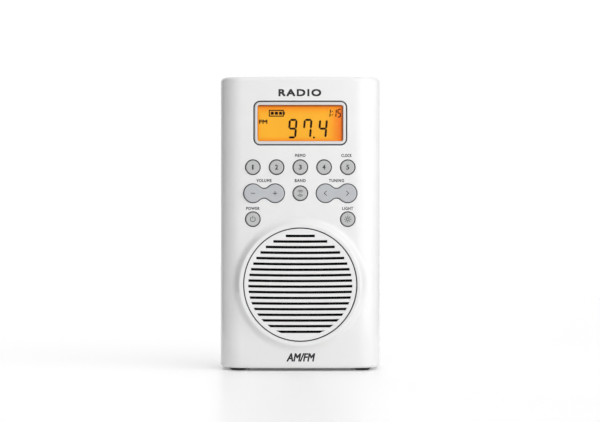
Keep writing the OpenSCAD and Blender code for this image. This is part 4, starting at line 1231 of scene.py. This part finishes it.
def ring_stroke(x, z, r, a0, a1, width, y, n=20):
    """Part of a ring, as a stroke."""
    return stroke([(x + px, z + pz) for px, pz in arc(0, 0, r, a0, a1, n)], width, y)


def key_marks(name):
    """The parts of the mark printed on a key: a digit or a simple symbol."""
    x, z = KEY_AT[name]
    y = key_front(x) - 0.01

    def line(*points):
        return stroke([(x + px, z + pz) for px, pz in points], 0.55, y)
    if name.startswith("preset"):
        wide = 1.3 if name[-1] == "1" else 2.5
        return [lettering(name[-1], x, z, wide, 4.0, lambda px: y + 0.025, bold=0.12)]
    if name == "power_button":
        return [ring_stroke(x, z, 2.0, 125, 415, 0.5, y), line((0, 0.4), (0, 2.7))]
    if name == "light_button":
        rays = [line((1.9 * c, 1.9 * s), (2.8 * c, 2.8 * s)) for c, s in circle(1.0, 8)]
        return [ring_stroke(x, z, 1.1, 0, 360, 0.5, y)] + rays
    if name == "band_button":
        return [ring_stroke(x, z, r, a, a + 110, 0.5, y, 10) for r in (1.2, 2.4) for a in (35, 215)]
    if name == "volume_rocker":
        return [line((-LOBE_X - 1.8, 0), (-LOBE_X + 1.8, 0)), line((LOBE_X - 1.8, 0), (LOBE_X + 1.8, 0)),
                line((LOBE_X, -1.8), (LOBE_X, 1.8))]
    return [line((s * LOBE_X - s * 1.0, 2.0), (s * LOBE_X + s * 1.0, 0), (s * LOBE_X - s * 1.0, -2.0))
            for s in (-1, 1)]


for key_name in ROUND_KEYS + ROCKERS:
    finish_piece(key_name + "_mark", *join_parts(key_marks(key_name)), "dark_print", body=key_name,
                 smooth=20)

# ---- Printing on the front --------------------------------------------------------------------

ROW_1, ROW_2, ROW_3 = (KEY_AT[k][1] for k in ("preset_button_3", "band_button", "power_button"))
CAPTIONS = [("MEMO", 0, ROW_1 + 9.6, 8.6), ("CLOCK", 37.8, ROW_1 + 9.6, 8.4),
            ("VOLUME", -29.6, ROW_2 + 10.4, 12.4), ("BAND", 0, ROW_2 + 10.4, 9.0),
            ("TUNING", 29.6, ROW_2 + 10.4, 12.4), ("POWER", -38.8, ROW_3 + 8.8, 11.0),
            ("LIGHT", 38.8, ROW_3 + 8.8, 9.0)]
printed = [lettering(text, x, z, w, 2.6, front_y, bold=0.1, spacing=1.15) for text, x, z, w in CAPTIONS]
printed.append(lettering("RADIO", -0.3, 227.6, 35, 6.0, front_y, spacing=1.2, bold=0.34))
printed.append(lettering("AM/FM", 0.5, 11.3, 23.5, 7.0, front_y, shear=0.25, bold=0.26))
finish_piece("front_print", *join_parts(printed), "dark_print", smooth=20)

# ---- Feet and screws --------------------------------------------------------------------------

foot_top, barb_z = LOW_Z + 0.02, LOW_Z + WALL + 0.05
foot = [(3.6, 0.0), (4.6, 0.05), (5.8, 0.35), (6.6, 0.85), (7.2, 1.5), (7.45, foot_top - 0.25),
        (7.3, foot_top), (2.5, foot_top), (2.5, barb_z), (3.1, barb_z), (2.2, barb_z + 1.2)]
feet = [lathe_z(foot, x, y, 64) for x in (-51, 51) for y in (-24, 28)]
finish_piece("feet", *join_parts(feet), "foot_rubber", nodes=["rubber_feet"])


def screw(x, z, y, shank_r, shank_len, head_r, head_h, back=1):
    """A pan-head screw with a cross recess; back is 1 when its head is behind its shank."""
    shank = [(0.2, y - back * shank_len), (shank_r * 0.6, y - back * (shank_len - shank_r * 0.3))]
    turns = max(4, int(shank_len / 0.55))
    for k in range(turns):
        base = y - back * (shank_len - shank_r - (shank_len - shank_r - 0.4) * k / turns)
        step = back * (shank_len - shank_r) / turns
        shank += [(shank_r * 0.82, base), (shank_r, base + step * 0.35), (shank_r, base + step * 0.5)]
    head = [(shank_r * 0.85, y), (head_r - 0.1, y), (head_r, y + back * 0.12),
            (head_r, y + back * head_h * 0.45), (head_r * 0.86, y + back * head_h * 0.85),
            (head_r * 0.62, y + back * head_h), (head_r * 0.3, y + back * head_h)]
    return lathe_y(shank + head, x, z, 28)


def recess_shade_cross(x, z, y, r, width, back=1):
    """A black cross laid on a screw's head: painted shade in place of a cut cross recess."""
    y0, y1 = sorted((y - back * 0.3, y + back * 0.02))
    return [block(x - w / 2, x + w / 2, y0, y1, z - h / 2, z + h / 2, 0.05, 2)
            for w, h in ((2 * r, width), (width, 2 * r))]


board_screws = [(x, z, -27.0, 1) for x in (-52, 52) for z in (119, 221)]
board_screws += [(x, z, 20.0, -1) for x in (-44, 44) for z in (106, 196)]
speaker_screws = [(40.2 * math.cos(a), SPEAKER_Z + 40.2 * math.sin(a), -32.0, 1)
                  for a in [math.radians(45 + 90 * k) for k in range(4)]]
shell_screws = [(x, z, -6.0, 1) for x, z in SHELL_SCREWS]
for node_name, places, size in (("housing_screws", shell_screws, (1.5, 18, 2.9, 2.0)),
                                ("board_screws", board_screws, (1.0, 7, 2.1, 1.4)),
                                ("speaker_screws", speaker_screws, (1.2, 5, 2.6, 1.7))):
    bodies, recess_shades = [], []
    for x, z, y, back in places:
        bodies.append(screw(x, z, y, *size, back))
        # Black crosses on the screw heads: painted shade for their recesses.
        recess_shades += recess_shade_cross(x, z, y + back * size[3], size[2] * 0.55, 0.5, back)
    piece_name = node_name[:-1] + "_set"
    finish_piece(piece_name, *join_parts(bodies), "steel_screws", nodes=[node_name])
    finish_piece(piece_name + "_recesses", *join_parts(recess_shades), "chip_black", slot="steel_screws",
                 smooth=20)

# ---- CAD parts that are shown as they are -----------------------------------------------------

for material_row in frame["record"]["subparts"]:
    node = frame["nodes"][material_row["node"]]
    if node.hide_render:
        continue
    node.data.materials.clear()
    node.data.materials.append(MATERIALS[material_row["material_slot"]])
    weld = node.modifiers.new("weld", "WELD")
    weld.merge_threshold = 0.000001
    soften = node.modifiers.new("soften", "BEVEL")
    soften.width = 0.00015
    soften.segments = 2
    soften.limit_method = "ANGLE"
    soften.angle_limit = math.radians(50)
    soften.use_clamp_overlap = True

# ---- Stage and light --------------------------------------------------------------------------

floor_mesh = bpy.data.meshes.new("floor")
half_floor, floor_front, floor_back = 0.46, -1.2, 3
floor_mesh.from_pydata([(-half_floor, floor_front, 0), (half_floor, floor_front, 0),
                        (half_floor, floor_back, 0), (-half_floor, floor_back, 0)], [], [(0, 1, 2, 3)])
floor = bpy.data.objects.new("floor", floor_mesh)
bpy.context.collection.objects.link(floor)
floor_white = surface("floor_white", (0.95, 0.95, 0.95), 0.34, vary=0.004, mottle=4.0,
                      grain=200, grain_depth=0.000005, rough_vary=0.02)
floor_shader = next(n for n in floor_white.node_tree.nodes if n.type == "BSDF_PRINCIPLED")
settle(floor_shader, Emission_Color=(1, 1, 1, 1), Emission_Strength=0.07)
floor_mesh.materials.append(floor_white)

world = bpy.data.worlds.new("studio")
bpy.context.scene.world = world
world.use_nodes = True
w_nodes, w_links = world.node_tree.nodes, world.node_tree.links
w_nodes.clear()
w_place = w_nodes.new("ShaderNodeTexCoord")
w_split = w_nodes.new("ShaderNodeSeparateXYZ")
w_links.new(w_place.outputs["Generated"], w_split.inputs["Vector"])


def math_node(operation, a, b=None):
    """A math node; a and b are numbers or sockets."""
    node = w_nodes.new("ShaderNodeMath")
    node.operation = operation
    for value, socket in ((a, node.inputs[0]), (b, node.inputs[1])):
        if isinstance(value, (int, float)):
            socket.default_value = value
        elif value is not None:
            w_links.new(value, socket)
    return node.outputs["Value"]


# Brightness of the studio by azimuth in degrees, 0 straight in front and positive to the right:
# a dark flag on the left, a large softbox on the right, a white backdrop behind
STUDIO = [(-180, 1.05), (-136, 0.85), (-132, 0.0), (-92, 0.0), (-76, 0.28), (-52, 0.34), (-44, 0.62),
          (-12, 0.60), (11, 0.62), (12.5, 2.35), (78, 2.2), (80, 0.7), (108, 0.65), (112, 0.22), (136, 0.5),
          (180, 1.05)]
BRIGHTEST = 3.0                          # keeps the ramp's values below 1
OVERHEAD, BACKDROP = 1.1, 1.1            # strength of the light above, and of what the camera sees
w_back = math_node("MULTIPLY", w_split.outputs["Y"], -1.0)
azimuth = math_node("ARCTAN2", w_split.outputs["X"], w_back)
around = math_node("ADD", math_node("MULTIPLY", azimuth, 0.5 / math.pi), 0.5)
levels = w_nodes.new("ShaderNodeValToRGB")
set_stops(levels, [((angle + 180) / 360, (bright / BRIGHTEST,) * 3) for angle, bright in STUDIO])
w_links.new(around, levels.inputs["Fac"])
overhead = map_range(w_nodes, w_links, w_split.outputs["Z"], from_min=0.62, from_max=0.80, smooth=True)
sides = math_node("MULTIPLY", levels.outputs["Color"], math_node("SUBTRACT", 1.0, overhead))
level = math_node("ADD", math_node("MULTIPLY", sides, BRIGHTEST),
                  math_node("MULTIPLY", overhead, OVERHEAD))
studio = w_nodes.new("ShaderNodeBackground")
w_links.new(level, studio.inputs["Strength"])
plain = w_nodes.new("ShaderNodeBackground")
settle(plain, Strength=BACKDROP)
for background in (studio, plain):
    background.inputs["Color"].default_value = (1, 1, 1, 1)
w_path = w_nodes.new("ShaderNodeLightPath")
w_mix = w_nodes.new("ShaderNodeMixShader")
w_links.new(w_path.outputs["Is Camera Ray"], w_mix.inputs["Fac"])
w_links.new(studio.outputs["Background"], w_mix.inputs[1])
w_links.new(plain.outputs["Background"], w_mix.inputs[2])
w_out = w_nodes.new("ShaderNodeOutputWorld")
w_links.new(w_mix.outputs["Shader"], w_out.inputs["Surface"])

bpy.context.scene.view_settings.view_transform = "Standard"
